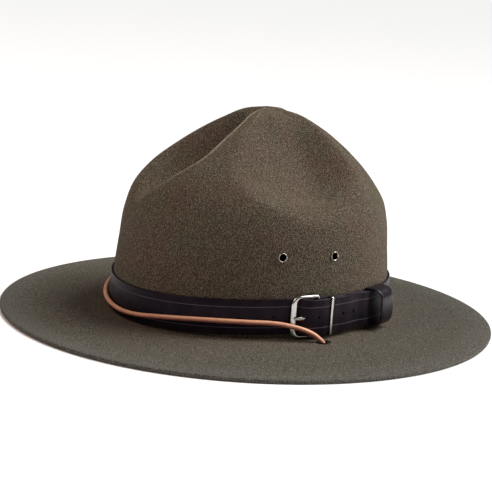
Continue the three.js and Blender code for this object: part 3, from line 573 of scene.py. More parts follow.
edge_rings = [edge_ring(turn) for turn in (-90, -60, -30, 0, 0.01, 30, 60, 90)]
start_share = EDGE_ROUND / (BRIM_LENGTH / 2 - BACK)
brim_shares = start_share + (BRIM_END - start_share) * np.linspace(0, 1, BRIM_RINGS)[1:]
brim_rings = [brim_top(share) for share in brim_shares]
root_rings = [root_ring(turn) for turn in (270, 247, 225, 202, 180)]
lowest_place = float(crown_place(np.array([np.pi]), np.array([ROOT + ROOT_RADIUS]))[0])
crown_shares = lowest_place + (CROWN_END - lowest_place) * np.linspace(0, 1, CROWN_RINGS)[1:]
crown_rings = [crown_point(round_angles, share) for share in crown_shares]
print("shell rings:", len(edge_rings), len(brim_rings), len(root_rings), len(crown_rings))

# %% Shell mesh
def shell_normals(rings):
    """Unit normals of a grid of rings, outwards."""
    around = np.roll(rings, -1, axis=1) - np.roll(rings, 1, axis=1)
    upwards = np.gradient(rings, axis=0)
    normals = np.cross(around, upwards)
    return normals / np.linalg.norm(normals, axis=-1, keepdims=True)


def crest_shares(rings, normals):
    """How much paler rubbing and painted highlight the felt gets at each point of the front dent's left rim,
    by how sharply it folds.
    """
    before, after = np.roll(rings, CREST_SPAN, axis=1), np.roll(rings, -CREST_SPAN, axis=1)
    across = np.linalg.norm(after - before, axis=-1) / 2
    rise = ((rings - (before + after) / 2) * normals).sum(-1)
    bend = 2 * rise / across**2
    round_bend = np.broadcast_to(np.median(bend, axis=1, keepdims=True), bend.shape)
    shares = np.clip((bend - round_bend - CREST_BEND[0]) / (CREST_BEND[1] - CREST_BEND[0]), 0, 1)
    in_front = np.clip((np.cos(round_angles) - CREST_ENDS[0]) / (CREST_ENDS[1] - CREST_ENDS[0]), 0, 1)
    shares *= in_front * (np.sin(round_angles) > 0)
    shares[:len(brim_rings) + len(root_rings)] = 0
    # points that get paler rubbing and a painted highlight
    print("points on the rubbed fold:", int((shares > 0).sum()))
    return shares


def make_shell():
    upper = np.array(brim_rings + root_rings + crown_rings)
    normals = shell_normals(upper)
    brim_count = len(brim_rings)
    inner = upper - normals * CROWN_WALL
    inner[:brim_count] = upper[:brim_count]
    inner[:brim_count, :, 2] -= BRIM_WALL
    corner_end = brim_count + len(root_rings)
    picks = [*range(0, brim_count, 2), *range(brim_count, corner_end, 2)]
    picks += range(corner_end + 1, len(upper), 3)
    inside = [inner[i] for i in reversed(picks)]
    rings = np.array(inside + edge_rings + list(upper))
    points = rings.reshape(-1, 3)
    peak = crown_point(0, 1)
    faces = ring_faces(len(rings), AROUND)
    last = (len(rings) - 1) * AROUND
    tip, root_tip = len(points), len(points) + 1
    for i in range(AROUND):
        faces.append([last + i, last + (i + 1) % AROUND, tip])
        faces.append([(i + 1) % AROUND, i, root_tip])
    points = np.vstack((points, peak, peak - (0, 0, CROWN_WALL)))
    shell = new_piece("felt_shell", points, faces)
    crests = np.zeros(len(points))
    outside = len(points) - 2 - len(upper) * AROUND
    crests[outside:-2] = crest_shares(upper, normals).ravel()
    shell.data.attributes.new("crest", "FLOAT", "POINT").data.foreach_set("value", crests)
    return shell


felt_shell = make_shell()

# %% [markdown]
# ## Holes in the felt
# Two pairs of vents sit high on the crown's sides and two slots for the lace in the brim. Each
# needs its place, the wall's normal there, and the direction round the crown. The holes are cut
# by taking simple closed tools away from the shell, which keeps the felt's thickness visible.

# %% Places of the holes
VENT_BORE = 4.4
VENT_FLANGE = 6.2  # across the rim
VENT_HEIGHT = 52.2  # over the brim
VENT_ANGLE = 90.8  # degrees to the middle of a pair
VENT_SPREAD = 11.6  # degrees from there to each vent
EYELET_METAL = 0.4
GAP = 0.3  # between neighbouring pieces
SLOT_LENGTH = 8.2
SLOT_WIDTH = 4.1
SLOT_ANGLE = 94.7  # degrees
SLOT_OUT = 12.4  # from the crown's wall
SLOT_SLANT = 12  # degrees
SLOT_FLANGE = 1
NEARBY = 0.02  # a small step, as a share of the crown's height or in radians


def unit(vector):
    return vector / np.linalg.norm(vector)


def vent_places():
    """Point, normal and direction round the crown of each vent."""
    places = []
    for sign in (1, -1):
        for turn in (-1, 1):
            angle = math.radians(sign * (VENT_ANGLE + turn * VENT_SPREAD))
            at = float(crown_place(np.array([angle]), np.array([ROOT + VENT_HEIGHT]))[0])
            rise = unit(crown_point(angle, at + NEARBY) - crown_point(angle, at - NEARBY))
            around = unit(crown_point(angle + NEARBY, at) - crown_point(angle - NEARBY, at))
            places.append((crown_point(angle, at), unit(np.cross(around, rise)), around))
    return places


def slot_places():
    """Point, normal and long direction of each lace slot."""
    places = []
    brim = BRIM_WIDTH / 2 - SIDE
    for sign in (1, -1):
        angle = math.radians(sign * SLOT_ANGLE)
        point = off_wall(angle, brim_height(angle, 1 - SLOT_OUT / brim), SLOT_OUT)
        off = outward(np.array(angle))
        around = np.array((-off[1], off[0], 0)) * sign
        slant = math.radians(SLOT_SLANT)
        along = around * math.cos(slant) + off * math.sin(slant)
        slope = (brim_height(angle, 1) - BRIM_WALL) / brim
        places.append((point, unit(np.array((0, 0, 1)) + off * slope), along))
    return places


vents = vent_places()
slots = slot_places()
print("left vents at", [point.round(1).tolist() for point, _, _ in vents[:2]])

# %% Cutting the holes
def stand_on(shape, point, normal, along):
    """Turn a shape that was drawn on a table, Z up and X its long side, to stand on a wall."""
    side = unit(np.cross(normal, along))
    straight = np.cross(side, normal)
    return np.asarray(shape) @ np.stack((straight, side, normal)) + point


def stadium(length, width, count=32):
    """A round outline drawn out along X."""
    turns = (np.arange(count) + 0.5) * 2 * np.pi / count
    x = np.cos(turns) * width / 2
    y = np.sin(turns) * width / 2
    return np.stack((x + np.sign(x) * (length - width) / 2, y), -1)


def lathe(profile, length, width, place):
    """Rings of a profile of (grow, height) rows round a stadium that stands at a place."""
    rings = []
    for grow, height in profile:
        outline = stadium(length + 2 * grow, width + 2 * grow)
        rings.append(stand_on(np.column_stack((outline, np.full(len(outline), height))), *place))
    return np.array(rings)


def hole_tool(length, width, deep, place):
    rings = lathe([(0, -deep), (0, deep)], length, width, place)
    return new_piece("tool", rings.reshape(-1, 3), ring_faces(2, rings.shape[1], caps=True), smooth=False)


def modified_mesh(holder):
    """The mesh that an object's modifiers give."""
    bpy.context.view_layer.update()
    evaluated = holder.evaluated_get(bpy.context.evaluated_depsgraph_get())
    return bpy.data.meshes.new_from_object(evaluated)


def cut(piece, tools):
    """Take closed tools away from a piece and remove them."""
    for tool in tools:
        modifier = piece.modifiers.new("cut", "BOOLEAN")
        modifier.operation = "DIFFERENCE"
        modifier.solver = "EXACT"
        modifier.object = tool
    cut_mesh = modified_mesh(piece)
    old = piece.data
    piece.modifiers.clear()
    piece.data = cut_mesh
    bpy.data.meshes.remove(old)
    for tool in tools:
        bpy.data.objects.remove(tool)
    cut_mesh.set_sharp_from_angle(angle=math.radians(40))
    print(piece.name, "after cutting:", len(cut_mesh.polygons), "faces")


bore = VENT_BORE + 2 * (EYELET_METAL + GAP)
tools = [hole_tool(bore, bore, 2 * CROWN_WALL, place) for place in vents]
slot_size = (SLOT_LENGTH + 2 * (EYELET_METAL + GAP), SLOT_WIDTH + 2 * (EYELET_METAL + GAP))
tools += [hole_tool(*slot_size, 2 * BRIM_WALL, place) for place in slots]
cut(felt_shell, tools)
dress(felt_shell, felt, "felt", "felt_body")

# %% [markdown]
# ## Nickel plate
# The buckle and the eyelets are brass or steel with a bright nickel coat. Nickel is a slightly
# warm, slightly grey metal. Handling leaves fine scratches and a soft haze, so its roughness
# wanders a little. The vents' eyelets have worn duller, and the lace's are blackened brass.

# %% Nickel material
NICKEL = "#BFBEBC"
WORN_NICKEL = "#B4B0A8"
BLACKENED = "#3A352F"
HAZE = 5  # mm
SCRATCH = 0.6
HAZE_SPREAD = 0.16  # how far the haze roughens


def make_nickel(name, colour, rough):
    material, tree, shader = new_material(name, metallic=1.0)
    shader.inputs["Base Color"].default_value = linear(colour)
    place = add_node(tree, "ShaderNodeTexCoord").outputs["Object"]
    haze = noise(tree, place, HAZE, 4)
    spread = ranged(tree, haze, 0, 1, rough, rough + HAZE_SPREAD)
    tree.links.new(spread, shader.inputs["Roughness"])
    scratches = noise(tree, place, SCRATCH, 5, rough=0.7)
    tree.links.new(bumped(tree, scratches, 0.08, 0.1), shader.inputs["Normal"])
    return material


nickel = make_nickel("bright nickel plate", NICKEL, 0.12)
dull_nickel = make_nickel("worn nickel plate", WORN_NICKEL, 0.2)
black_brass = make_nickel("blackened brass", BLACKENED, 0.25)
print("metals:", [metal.name for metal in (nickel, dull_nickel, black_brass)])

# %% [markdown]
# ## Eyelets
# An eyelet is a little metal tube with a rolled rim, pushed through a hole and clinched inside.
# Geometry Nodes put copies of one eyelet on points that know the wall's direction there, which
# is how a repeated fitting is made once and placed many times.

# %% Eyelet shape
def eyelet_profile(wall, flange):
    """Outline of an eyelet's metal as (grow from the bore, height above the wall) rows."""
    back = -wall - GAP
    return [
        (0, back), (flange, back), (flange, back - EYELET_METAL), (0, back - EYELET_METAL * 1.2),
        (-EYELET_METAL, back), (-EYELET_METAL, -EYELET_METAL), (-EYELET_METAL * 0.8, GAP * 0.8),
        (-EYELET_METAL * 0.2, GAP + EYELET_METAL), (flange * 0.35, GAP + EYELET_METAL * 1.5),
        (flange * 0.75, GAP + EYELET_METAL * 1.2), (flange, GAP + EYELET_METAL * 0.4), (flange * 0.95, GAP),
        (0.05, GAP), (0, GAP * 0.5),
    ]


def eyelet_mesh(name, length, width, wall, flange):
    """One eyelet on the table, its bore given and its metal outside the bore."""
    place = (np.zeros(3), np.array((0, 0, 1.0)), np.array((1.0, 0, 0)))
    rings = lathe(eyelet_profile(wall, flange), length + 2 * EYELET_METAL, width + 2 * EYELET_METAL, place)
    return new_piece(name, rings.reshape(-1, 3), ring_faces(len(rings), rings.shape[1], loop=True))


vent_flange = (VENT_FLANGE - VENT_BORE) / 2 - EYELET_METAL
vent_eyelet = eyelet_mesh("one_vent_eyelet", VENT_BORE, VENT_BORE, CROWN_WALL, vent_flange)
slot_eyelet = eyelet_mesh("one_slot_eyelet", SLOT_LENGTH, SLOT_WIDTH, BRIM_WALL, SLOT_FLANGE - EYELET_METAL)

# %% Eyelets on their points
def new_tree(name, sockets):
    """A Geometry Nodes tree with a geometry in and out and named inputs."""
    tree = bpy.data.node_groups.new(name, "GeometryNodeTree")
    tree.interface.new_socket("Geometry", in_out="INPUT", socket_type="NodeSocketGeometry")
    for socket, kind in sockets:
        tree.interface.new_socket(socket, in_out="INPUT", socket_type=f"NodeSocket{kind}")
    tree.interface.new_socket("Geometry", in_out="OUTPUT", socket_type="NodeSocketGeometry")
    source = add_node(tree, "NodeGroupInput").outputs
    return tree, source


def end_tree(tree, geometry, material):
    """Close a tree with Realize Instances and Set Material."""
    real = add_node(tree, "GeometryNodeRealizeInstances", {"Geometry": geometry}).outputs[0]
    finished = add_node(tree, "GeometryNodeSetMaterial", {"Geometry": real}, {"Material": material})
    add_node(tree, "NodeGroupOutput", {0: finished.outputs[0]})


def grow_tree(holder, tree, name, **inputs):
    """Run a tree on an object with its inputs and keep the result as a plain mesh object."""
    modifier = holder.modifiers.new("shape", "NODES")
    modifier.node_group = tree
    for socket in tree.interface.items_tree:
        key = socket.name.lower().replace(" ", "_")
        if socket.in_out == "INPUT" and key in inputs:
            modifier[socket.identifier] = inputs[key]
    mesh = modified_mesh(holder)
    mesh.name = name
    holder.modifiers.clear()
    bpy.data.objects.remove(holder)
    piece = new_object(name, mesh)
    print(name, "grown by nodes:", len(mesh.polygons), "faces")
    return piece


def points_with_axes(places):
    """A mesh of bare points that carry the wall's normal and a direction along it."""
    mesh = bpy.data.meshes.new("places")
    mesh.from_pydata([tuple(point * MM) for point, _, _ in places], [], [])
    keep_vectors(mesh, "wall_normal", [normal for _, normal, _ in places])
    keep_vectors(mesh, "along", [along for _, _, along in places])
    return new_object("places", mesh)


def eyelet_tree():
    tree, source = new_tree("copies on points", [("Fitting", "Object"), ("Size", "Float")])
    fitting = add_node(tree, "GeometryNodeObjectInfo", {"Object": source["Fitting"]}).outputs["Geometry"]
    axes = {}
    for axis, name in (("Primary Axis", "wall_normal"), ("Secondary Axis", "along")):
        stored = add_node(
            tree, "GeometryNodeInputNamedAttribute", values={"Name": name}, data_type="FLOAT_VECTOR",
        )
        axes[axis] = stored.outputs[0]
    turn = add_node(
        tree, "FunctionNodeAxesToRotation", axes, primary_axis="Z", secondary_axis="X",
    ).outputs[0]
    copies = add_node(
        tree, "GeometryNodeInstanceOnPoints",
        {"Points": source["Geometry"], "Instance": fitting, "Rotation": turn, "Scale": source["Size"]},
    ).outputs[0]
    end_tree(tree, copies, nickel)
    return tree


fittings = eyelet_tree()
vent_eyelets = grow_tree(points_with_axes(vents), fittings, "vent_eyelets", fitting=vent_eyelet, size=1.0)
lace_eyelets = grow_tree(points_with_axes(slots), fittings, "lace_eyelets", fitting=slot_eyelet, size=1.0)
for one_eyelet in (vent_eyelet, slot_eyelet):
    bpy.data.objects.remove(one_eyelet)
VENT_NODES = [f"vent_eyelet_{side}_{end}" for side in ("left", "right") for end in ("front", "rear")]
dress(vent_eyelets, dull_nickel, "nickel_plate", *VENT_NODES)
dress(lace_eyelets, black_brass, "nickel_plate", "brim_eyelet_left", "brim_eyelet_right")

# %% [markdown]
# ## Working flat, then wrapping
# A strap maker cuts and punches leather flat on the bench and only then bends it round the hat.
# The pieces of the strap are drawn the same way: along is the distance round the crown from the
# buckle's heel bar, up is measured from the strap's middle and out from the felt. One function
# wraps such a drawing round the crown. The flat place of every point stays with it as an
# attribute, so that the leather's grain and creases follow the leather.

# %% Wrapping
STRAP_WIDTH = 23.2
LEATHER = 1.4
STRAP_SEAT = 0.6  # over the brim at the front
STRAP_LIFT = 3  # more than that at the back
BUCKLE_ANGLE = 94.3  # degrees, of the heel bar
LENGTH_STEPS = 1440


def strap_height(angle):
    """Height of the strap's middle above the floor."""
    lift = STRAP_LIFT * (1 - dip_share(angle))
    return brim_height(angle, 1) + STRAP_SEAT + lift + STRAP_WIDTH / 2


table_angles = math.radians(BUCKLE_ANGLE) + np.arange(LENGTH_STEPS + 1) * 2 * np.pi / LENGTH_STEPS
table_line = off_wall(table_angles, strap_height(table_angles), 0)
table_lengths = lengths_of(table_line)
ROUND = float(table_lengths[-1])  # once round the crown


def wrap(flat):
    """Points by along, up and out, laid round the crown."""
    flat = np.asarray(flat, float)
    turns = np.floor(flat[:, 0] / ROUND)
    rest = flat[:, 0] - turns * ROUND
    angle = np.interp(rest, table_lengths, table_angles) + turns * 2 * np.pi
    return off_wall(angle, strap_height(angle) + flat[:, 1], flat[:, 2])


def wrapped(name, flat, faces):
    """A piece drawn flat in millimetres and wrapped, which keeps its flat places in metres."""
    piece = new_piece(name, wrap(flat), faces)
    keep_vectors(piece.data, "flat", np.asarray(flat, float) * MM)
    return piece


print("once round the crown:", round(ROUND, 1), "mm")

# %% Places across the strap
FOLD_LENGTH = 21  # of the strap's end, from the heel bar
TAIL_LENGTH = 64
HOLE_PITCH = 10.2
HOLE_BORE = 1.9
HOLES_BEFORE = 4  # the prong's hole, and after it below
HOLES_AFTER = 4
FRAME_LENGTH = 19.8
FRAME_HEIGHT = 28.2
FRAME_THICK = 2.2
FRONT_BAR = 4
SIDE_BAR = 2
HEEL_BAR = 2
PRONG_WIDTH = 2.2
PRONG_THICK = 1.2
PRONG_UP = -0.6  # from the strap's middle
PRONG_LAP = 2.2  # of its tip over the front bar
PRONG_BEHIND = 3.8  # the front bar
WIRE_WIDTH = 1.6
WIRE_THICK = 1
WIRE_PLACE = 8.3
KEEPER_PLACE = 43
KEEPER_WIDTH = 19
KEEPER_WALL = 1.3
KEEPER_BULGE = 13  # off the felt
KEEPER_SHEAR = 0.4  # how far its mouth leans back, for each mm off the felt
SIDE_GAP = 0.35  # between the strap's edges and a keeper
TONGUE = 9
TONGUE_TIP = 0.55  # share of the width that is left at the tongue's end

LAYER = LEATHER + GAP
FIRST = GAP + LEATHER / 2
SECOND = FIRST + LAYER
THIRD = SECOND + LAYER
BAR_REACH = HEEL_BAR / 2 + 0.25
FOLD_REACH = BAR_REACH + GAP + LEATHER / 2
FRAME_OUT = FIRST + FOLD_REACH
PRONG_REACH = BAR_REACH + GAP + PRONG_THICK / 2
TAIL_TOP = FRAME_OUT + PRONG_REACH + PRONG_THICK / 2 + GAP + LEATHER / 2
WIRE_BACK = FIRST + LEATHER / 2 + GAP + WIRE_THICK / 2
FOLD_OVER_WIRE = WIRE_BACK + WIRE_THICK / 2 + GAP + LEATHER / 2
TAIL_OVER_WIRE = FOLD_OVER_WIRE + LAYER
WIRE_FRONT = TAIL_OVER_WIRE + LEATHER / 2 + GAP + WIRE_THICK / 2
KEEPER_BACK = GAP + KEEPER_WALL + GAP
FIRST_IN_KEEPER = KEEPER_BACK + LEATHER / 2
SECOND_IN_KEEPER = FIRST_IN_KEEPER + LAYER
FRONT_BAR_END = -FRAME_LENGTH + HEEL_BAR / 2 + FRONT_BAR
PRONG_OUT = FRAME_OUT + FRAME_THICK / 2 + GAP + PRONG_THICK / 2
PRONG_HOLE = FRONT_BAR_END + PRONG_BEHIND  # the strap crosses the prong here
KEEPER_END = KEEPER_PLACE + KEEPER_WIDTH
KEEPER_MIDDLE = KEEPER_PLACE + KEEPER_WIDTH / 2

FOLD_LINE = [
    (FOLD_LENGTH, SECOND), (FOLD_LENGTH - 3, SECOND), (FOLD_LENGTH - 6, SECOND + 0.15),
    (WIRE_PLACE + 2.6, FOLD_OVER_WIRE - 0.5), (WIRE_PLACE, FOLD_OVER_WIRE),
    (4, FRAME_OUT + FOLD_REACH - 0.35),
]
RUN_LINE = [
    (4, FIRST), (10, FIRST), (KEEPER_PLACE - 14, FIRST), (KEEPER_PLACE - 8, FIRST + 0.1),
    (KEEPER_PLACE - 1, FIRST_IN_KEEPER), (KEEPER_MIDDLE, FIRST_IN_KEEPER),
    (KEEPER_END + 1, FIRST_IN_KEEPER), (KEEPER_END + 8, FIRST + 0.1), (KEEPER_END + 14, FIRST),
    (KEEPER_END + 20, FIRST), (ROUND + FRONT_BAR_END - 8, FIRST),
]
TAIL_LINE = [
    (FRONT_BAR_END - 4, FIRST), (FRONT_BAR_END - 0.8, FIRST), (FRONT_BAR_END + 1.3, FIRST + 0.85),
    (PRONG_HOLE - 1.1, PRONG_OUT - 1.9), (PRONG_HOLE, PRONG_OUT - 0.6),
    (PRONG_HOLE + 1.8, TAIL_TOP - 0.75), (PRONG_HOLE + 4.6, TAIL_TOP - 0.05),
    (-2, TAIL_TOP), (2, TAIL_TOP), (WIRE_PLACE - 3, TAIL_OVER_WIRE + 0.55),
    (WIRE_PLACE, TAIL_OVER_WIRE + 0.05), (WIRE_PLACE + 4, THIRD + 0.75), (FOLD_LENGTH - 6, THIRD + 0.2),
    (FOLD_LENGTH - 1, THIRD), (FOLD_LENGTH + 3, THIRD - 0.3), (FOLD_LENGTH + 8, SECOND + 0.5),
    (KEEPER_PLACE - 9, SECOND + 0.25), (KEEPER_PLACE - 2, SECOND_IN_KEEPER + 0.05),
    (KEEPER_MIDDLE, SECOND_IN_KEEPER), (KEEPER_END, SECOND_IN_KEEPER), (TAIL_LENGTH, SECOND_IN_KEEPER),
]


def round_bar(reach, start, end, step):
    """Places along an arc round the heel bar, between two turns in degrees."""
    turns = np.radians(np.arange(start, end + 0.01, step))
    return [(reach * math.cos(t), FRAME_OUT + reach * math.sin(t)) for t in turns]


STRAP_STEP = 0.9
STRAP_FINE = 4000  # steps that measure its length
strap_route = [*FOLD_LINE, *round_bar(FOLD_REACH, 80, 280, 25), *RUN_LINE]
strap_route += [(ROUND + along, out) for along, out in TAIL_LINE]
strap_total = length_of(smooth_line(np.array(strap_route), STRAP_FINE))
strap_line = smooth_line(np.array(strap_route), round(strap_total / STRAP_STEP))
print("strap length:", round(strap_total), "mm in", len(strap_line), "steps")

# %% [markdown]
# ## Strap leather
# The strap is vegetable tanned cowhide, dyed almost black with a little red in it, then waxed and
# burnished, which gives a clear gloss over fine pores. A heated tool has pressed a narrow crease
# along both edges. Gloss is a thin clear coat over a rougher skin, more of it on the keeper, whose
# leather is also wrinkled where it is bent. Pores are bump of under a millimetre, and the creases
# are drawn from the flat places that the leather carries, as bump and as a painted highlight that
# makes each crease a lighter line.

# %% Strap material
STRAP_DARK = "#131012"
STRAP_WARM = "#24191D"
CREASE_HIGHLIGHT = "#5C545C"  # painted highlight: the crease painted as a lighter line
CREASE_IN = 4.8  # mm from the edge
CREASE_WIDE = 0.4
STRAP_GLINT = "#C3AEEA"  # the tint of what the wax reflects
STRAP_CLOUD = 9
STRAP_MOTTLE = (0.35, 0.7)  # of the clouds' noise, from all dark to all warm
STRAP_ROUGH = (0.34, 0.5)
STRAP_RUB = 3
PORE = 0.8
WRINKLE = 1.8


def crease(tree, up):
    """A share that is full in the crease beside each edge, from the flat place's up."""
    high = add_node(tree, "ShaderNodeMath", {0: up}, operation="ABSOLUTE").outputs[0]
    middle = (STRAP_WIDTH / 2 - CREASE_IN) * MM
    away = add_node(tree, "ShaderNodeMath", {0: high}, {1: middle}, operation="SUBTRACT").outputs[0]
    far = add_node(tree, "ShaderNodeMath", {0: away}, operation="ABSOLUTE").outputs[0]
    return ranged(tree, far, CREASE_WIDE * MM, 0.0)


def make_strap_leather(name, creased, wrinkle, gloss):
    material, tree, shader = new_material(
        name, coat_weight=gloss, coat_roughness=0.12, coat_ior=1.5, ior=1.5, specular_ior_level=0.12,
    )
    shader.inputs["Specular Tint"].default_value = linear(STRAP_GLINT)
    place = add_node(tree, "ShaderNodeAttribute", attribute_name="flat").outputs["Vector"]
    parts = add_node(tree, "ShaderNodeSeparateXYZ", {"Vector": place}).outputs
    clouds = noise(tree, place, STRAP_CLOUD, 4)
    colour = mixed(tree, ranged(tree, clouds, *STRAP_MOTTLE), STRAP_DARK, STRAP_WARM)
    rub = noise(tree, place, STRAP_RUB, 4)
    tree.links.new(ranged(tree, rub, 0, 1, *STRAP_ROUGH), shader.inputs["Roughness"])
    pores = add_node(
        tree, "ShaderNodeTexVoronoi", {"Vector": place}, {"Scale": 1 / (PORE * MM)}, feature="F1",
    ).outputs["Distance"]
    skin = bumped(tree, pores, 0.12, 0.2)
    stretched = add_node(
        tree, "ShaderNodeMapping", {"Vector": place}, {"Scale": (1, 0.08, 0.08)},
    ).outputs["Vector"]
    skin = bumped(tree, noise(tree, stretched, WRINKLE, 3), wrinkle, 0.5, under=skin)
    if creased:
        crease_groove_and_highlight = crease(tree, parts["Y"])
        # the crease painted lighter: a painted highlight where the groove catches the light
        colour = mixed(tree, crease_groove_and_highlight, colour, CREASE_HIGHLIGHT)
        skin = bumped(tree, crease_groove_and_highlight, 0.4, 0.2, under=skin, invert=True)
    tree.links.new(colour, shader.inputs["Base Color"])
    tree.links.new(skin, shader.inputs["Normal"])
    tree.links.new(skin, shader.inputs["Coat Normal"])
    return material


strap_leather = make_strap_leather("burnished strap leather", True, 0.1, 0.05)
keeper_leather = make_strap_leather("burnished keeper leather", False, 0.9, 0.35)
print("leathers:", strap_leather.name, "and", keeper_leather.name)

# %% [markdown]
# ## The strap
# The strap follows a path, so Geometry Nodes sweep its section along the flat line and then punch
# the holes: points are placed on the line by distance, a punch is copied onto each, and all are
# taken away at once. Then the flat strap is tapered to a tongue at its tail and wrapped.

# %% Strap tree
PRONG_SLOT = (2.3, 1.5, 1)  # how the punch is drawn out for the prong's hole


def strap_tree():
    sockets = [("Width", "Float"), ("Thickness", "Float"), ("Edge", "Float"), ("Bore", "Float"),
               ("First Hole", "Float"), ("Pitch", "Float"), ("Holes", "Int"), ("Prong Hole", "Int")]
    tree, source = new_tree("punched strap", sockets)
    flat_box = add_node(
        tree, "GeometryNodeCurvePrimitiveQuadrilateral",
        {"Width": source["Width"], "Height": source["Thickness"]},
    ).outputs[0]
    section = add_node(
        tree, "GeometryNodeFilletCurve", {"Curve": flat_box, "Radius": source["Edge"]}, {"Count": 4},
        mode="POLY",
    ).outputs[0]
    swept = add_node(
        tree, "GeometryNodeCurveToMesh",
        {"Curve": source["Geometry"], "Profile Curve": section}, {"Fill Caps": True},
    ).outputs[0]
    index = add_node(tree, "GeometryNodeInputIndex").outputs[0]
    steps = add_node(tree, "ShaderNodeMath", {0: index, 1: source["Pitch"]}, operation="MULTIPLY").outputs[0]
    where = add_node(tree, "ShaderNodeMath", {0: steps, 1: source["First Hole"]}, operation="ADD").outputs[0]
    spot = add_node(
        tree, "GeometryNodeSampleCurve", {"Curves": source["Geometry"], "Length": where}, mode="LENGTH",
    ).outputs
    points = add_node(
        tree, "GeometryNodePoints", {"Count": source["Holes"], "Position": spot["Position"]},
    ).outputs[0]
    punch_radius = add_node(
        tree, "ShaderNodeMath", {0: source["Bore"]}, {1: 0.5}, operation="MULTIPLY",
    ).outputs[0]
    deep = add_node(
        tree, "ShaderNodeMath", {0: source["Thickness"]}, {1: 2.0}, operation="MULTIPLY",
    ).outputs[0]
    punch = add_node(
        tree, "GeometryNodeMeshCylinder", {"Radius": punch_radius, "Depth": deep}, {"Vertices": 20},
    ).outputs["Mesh"]
    off = add_node(
        tree, "ShaderNodeVectorMath", {0: spot["Tangent"]}, {1: (0, 1, 0)}, operation="CROSS_PRODUCT",
    ).outputs["Vector"]
    turn = add_node(tree, "FunctionNodeAlignRotationToVector", {"Vector": off}, axis="Z").outputs[0]
    is_prong = add_node(
        tree, "FunctionNodeCompare", {2: index, 3: source["Prong Hole"]}, data_type="INT", operation="EQUAL",
    ).outputs[0]
    size = add_node(
        tree, "GeometryNodeSwitch", {"Switch": is_prong},
        {"False": (1, 1, 1), "True": PRONG_SLOT}, input_type="VECTOR",
    ).outputs[0]
    punches = add_node(
        tree, "GeometryNodeInstanceOnPoints",
        {"Points": points, "Instance": punch, "Rotation": turn, "Scale": size},
    ).outputs[0]
    real = add_node(tree, "GeometryNodeRealizeInstances", {"Geometry": punches}).outputs[0]
    punched = add_node(
        tree, "GeometryNodeMeshBoolean", {"Mesh 1": swept, "Mesh 2": real},
        operation="DIFFERENCE", solver="EXACT",
    ).outputs["Mesh"]
    end_tree(tree, punched, strap_leather)
    return tree


# %% Strap
STRAP_EDGE = 0.45


def flat_curve(line):
    """The strap's line in the flat drawing, along in X and out in Z."""
    data = bpy.data.curves.new("strap line", "CURVE")
    data.dimensions = "3D"
    spline = data.splines.new("POLY")
    spline.points.add(len(line) - 1)
    for point, (along, out) in zip(spline.points, line):
        point.co = (along * MM, 0, out * MM, 1)
    return new_object("strap line", data)


def length_at(line, along):
    """Distance along the line to the first place past a number on its last stretch."""
    return float(lengths_of(line)[int(np.argmax(line[:, 0] > along))])


prong_at = length_at(strap_line, ROUND + PRONG_HOLE)
strap_flat = grow_tree(
    flat_curve(strap_line), strap_tree(), "hat_strap_piece",
    width=STRAP_WIDTH * MM, thickness=LEATHER * MM, edge=STRAP_EDGE * MM, bore=HOLE_BORE * MM,
    first_hole=(prong_at - HOLES_BEFORE * HOLE_PITCH) * MM, pitch=HOLE_PITCH * MM,
    holes=HOLES_BEFORE + 1 + HOLES_AFTER, prong_hole=HOLES_BEFORE,
)


def mesh_points(mesh):
    values = np.empty(len(mesh.vertices) * 3)
    mesh.vertices.foreach_get("co", values)
    return values.reshape(-1, 3)


def tongue(flat):
    """Narrow the strap towards the end of its tail."""
    left = strap_line[-1, 0] - flat[:, 0]
    share = np.clip(left / TONGUE, 0, 1)
    flat[:, 1] *= TONGUE_TIP + (1 - TONGUE_TIP) * np.sqrt(1 - (1 - share) ** 2)
    return flat


def lay_strap(piece):
    mesh = piece.data
    flat = tongue(mesh_points(mesh) / MM)
    keep_vectors(mesh, "flat", flat * MM)
    mesh.vertices.foreach_set("co", (wrap(flat) * MM).ravel())
    mesh.update()
    mesh.polygons.foreach_set("use_smooth", [True] * len(mesh.polygons))
    mesh.set_sharp_from_angle(angle=math.radians(35))
    faces = [list(polygon.vertices) for polygon in mesh.polygons]
    print("strap volume:", round(volume_of(mesh_points(mesh) / MM, faces)), "mm3")


lay_strap(strap_flat)
dress(strap_flat, strap_leather, "strap_leather", "hat_strap")

# %% [markdown]
# ## The buckle
# The frame is a stamped and tumbled casting: a rounded rectangle whose front bar is wide and whose
# heel bar is thin. It is swept from two outlines, one outside and one inside, with a rounded
# section between them. The prong is a flat strip hooked round the heel bar.

# %% Rounded sections
SECTION = 20  # points round a section


def pillow(power, count=SECTION):
    """A unit outline between a circle, of power 2, and a square."""
    turns = np.arange(count) * 2 * np.pi / count
    c, s = np.cos(turns), np.sin(turns)
    return np.stack((np.sign(c) * abs(c) ** (2 / power), np.sign(s) * abs(s) ** (2 / power)), -1)


def rounded_outline(left, low, right, high, corners, steps=9):
    """Points round a rectangle with a radius for each corner, in matching numbers."""
    middles = [(right, high, 0), (left, high, 90), (left, low, 180), (right, low, 270)]
    points = []
    for (x, y, start), radius in zip(middles, corners):
        centre = (x - radius * (1 if x == right else -1), y - radius * (1 if y == high else -1))
        for turn in np.radians(np.linspace(start, start + 90, steps)):
            points.append((centre[0] + radius * math.cos(turn), centre[1] + radius * math.sin(turn)))
    return np.array(points)


def straight(a, b, steps):
    """Even steps from one point towards another, without the last."""
    return [a + (b - a) * step / steps for step in range(steps)]


def with_sides(outline, cuts=6):
    """Add steps along the straight sides of an outline whose four corners have as many points."""
    quarter = len(outline) // 4
    fine = []
    for k in range(4):
        corner = outline[k * quarter:(k + 1) * quarter]
        after = outline[((k + 1) * quarter) % len(outline)]
        fine += [*corner, *straight(corner[-1], after, cuts)[1:]]
    return np.array(fine)


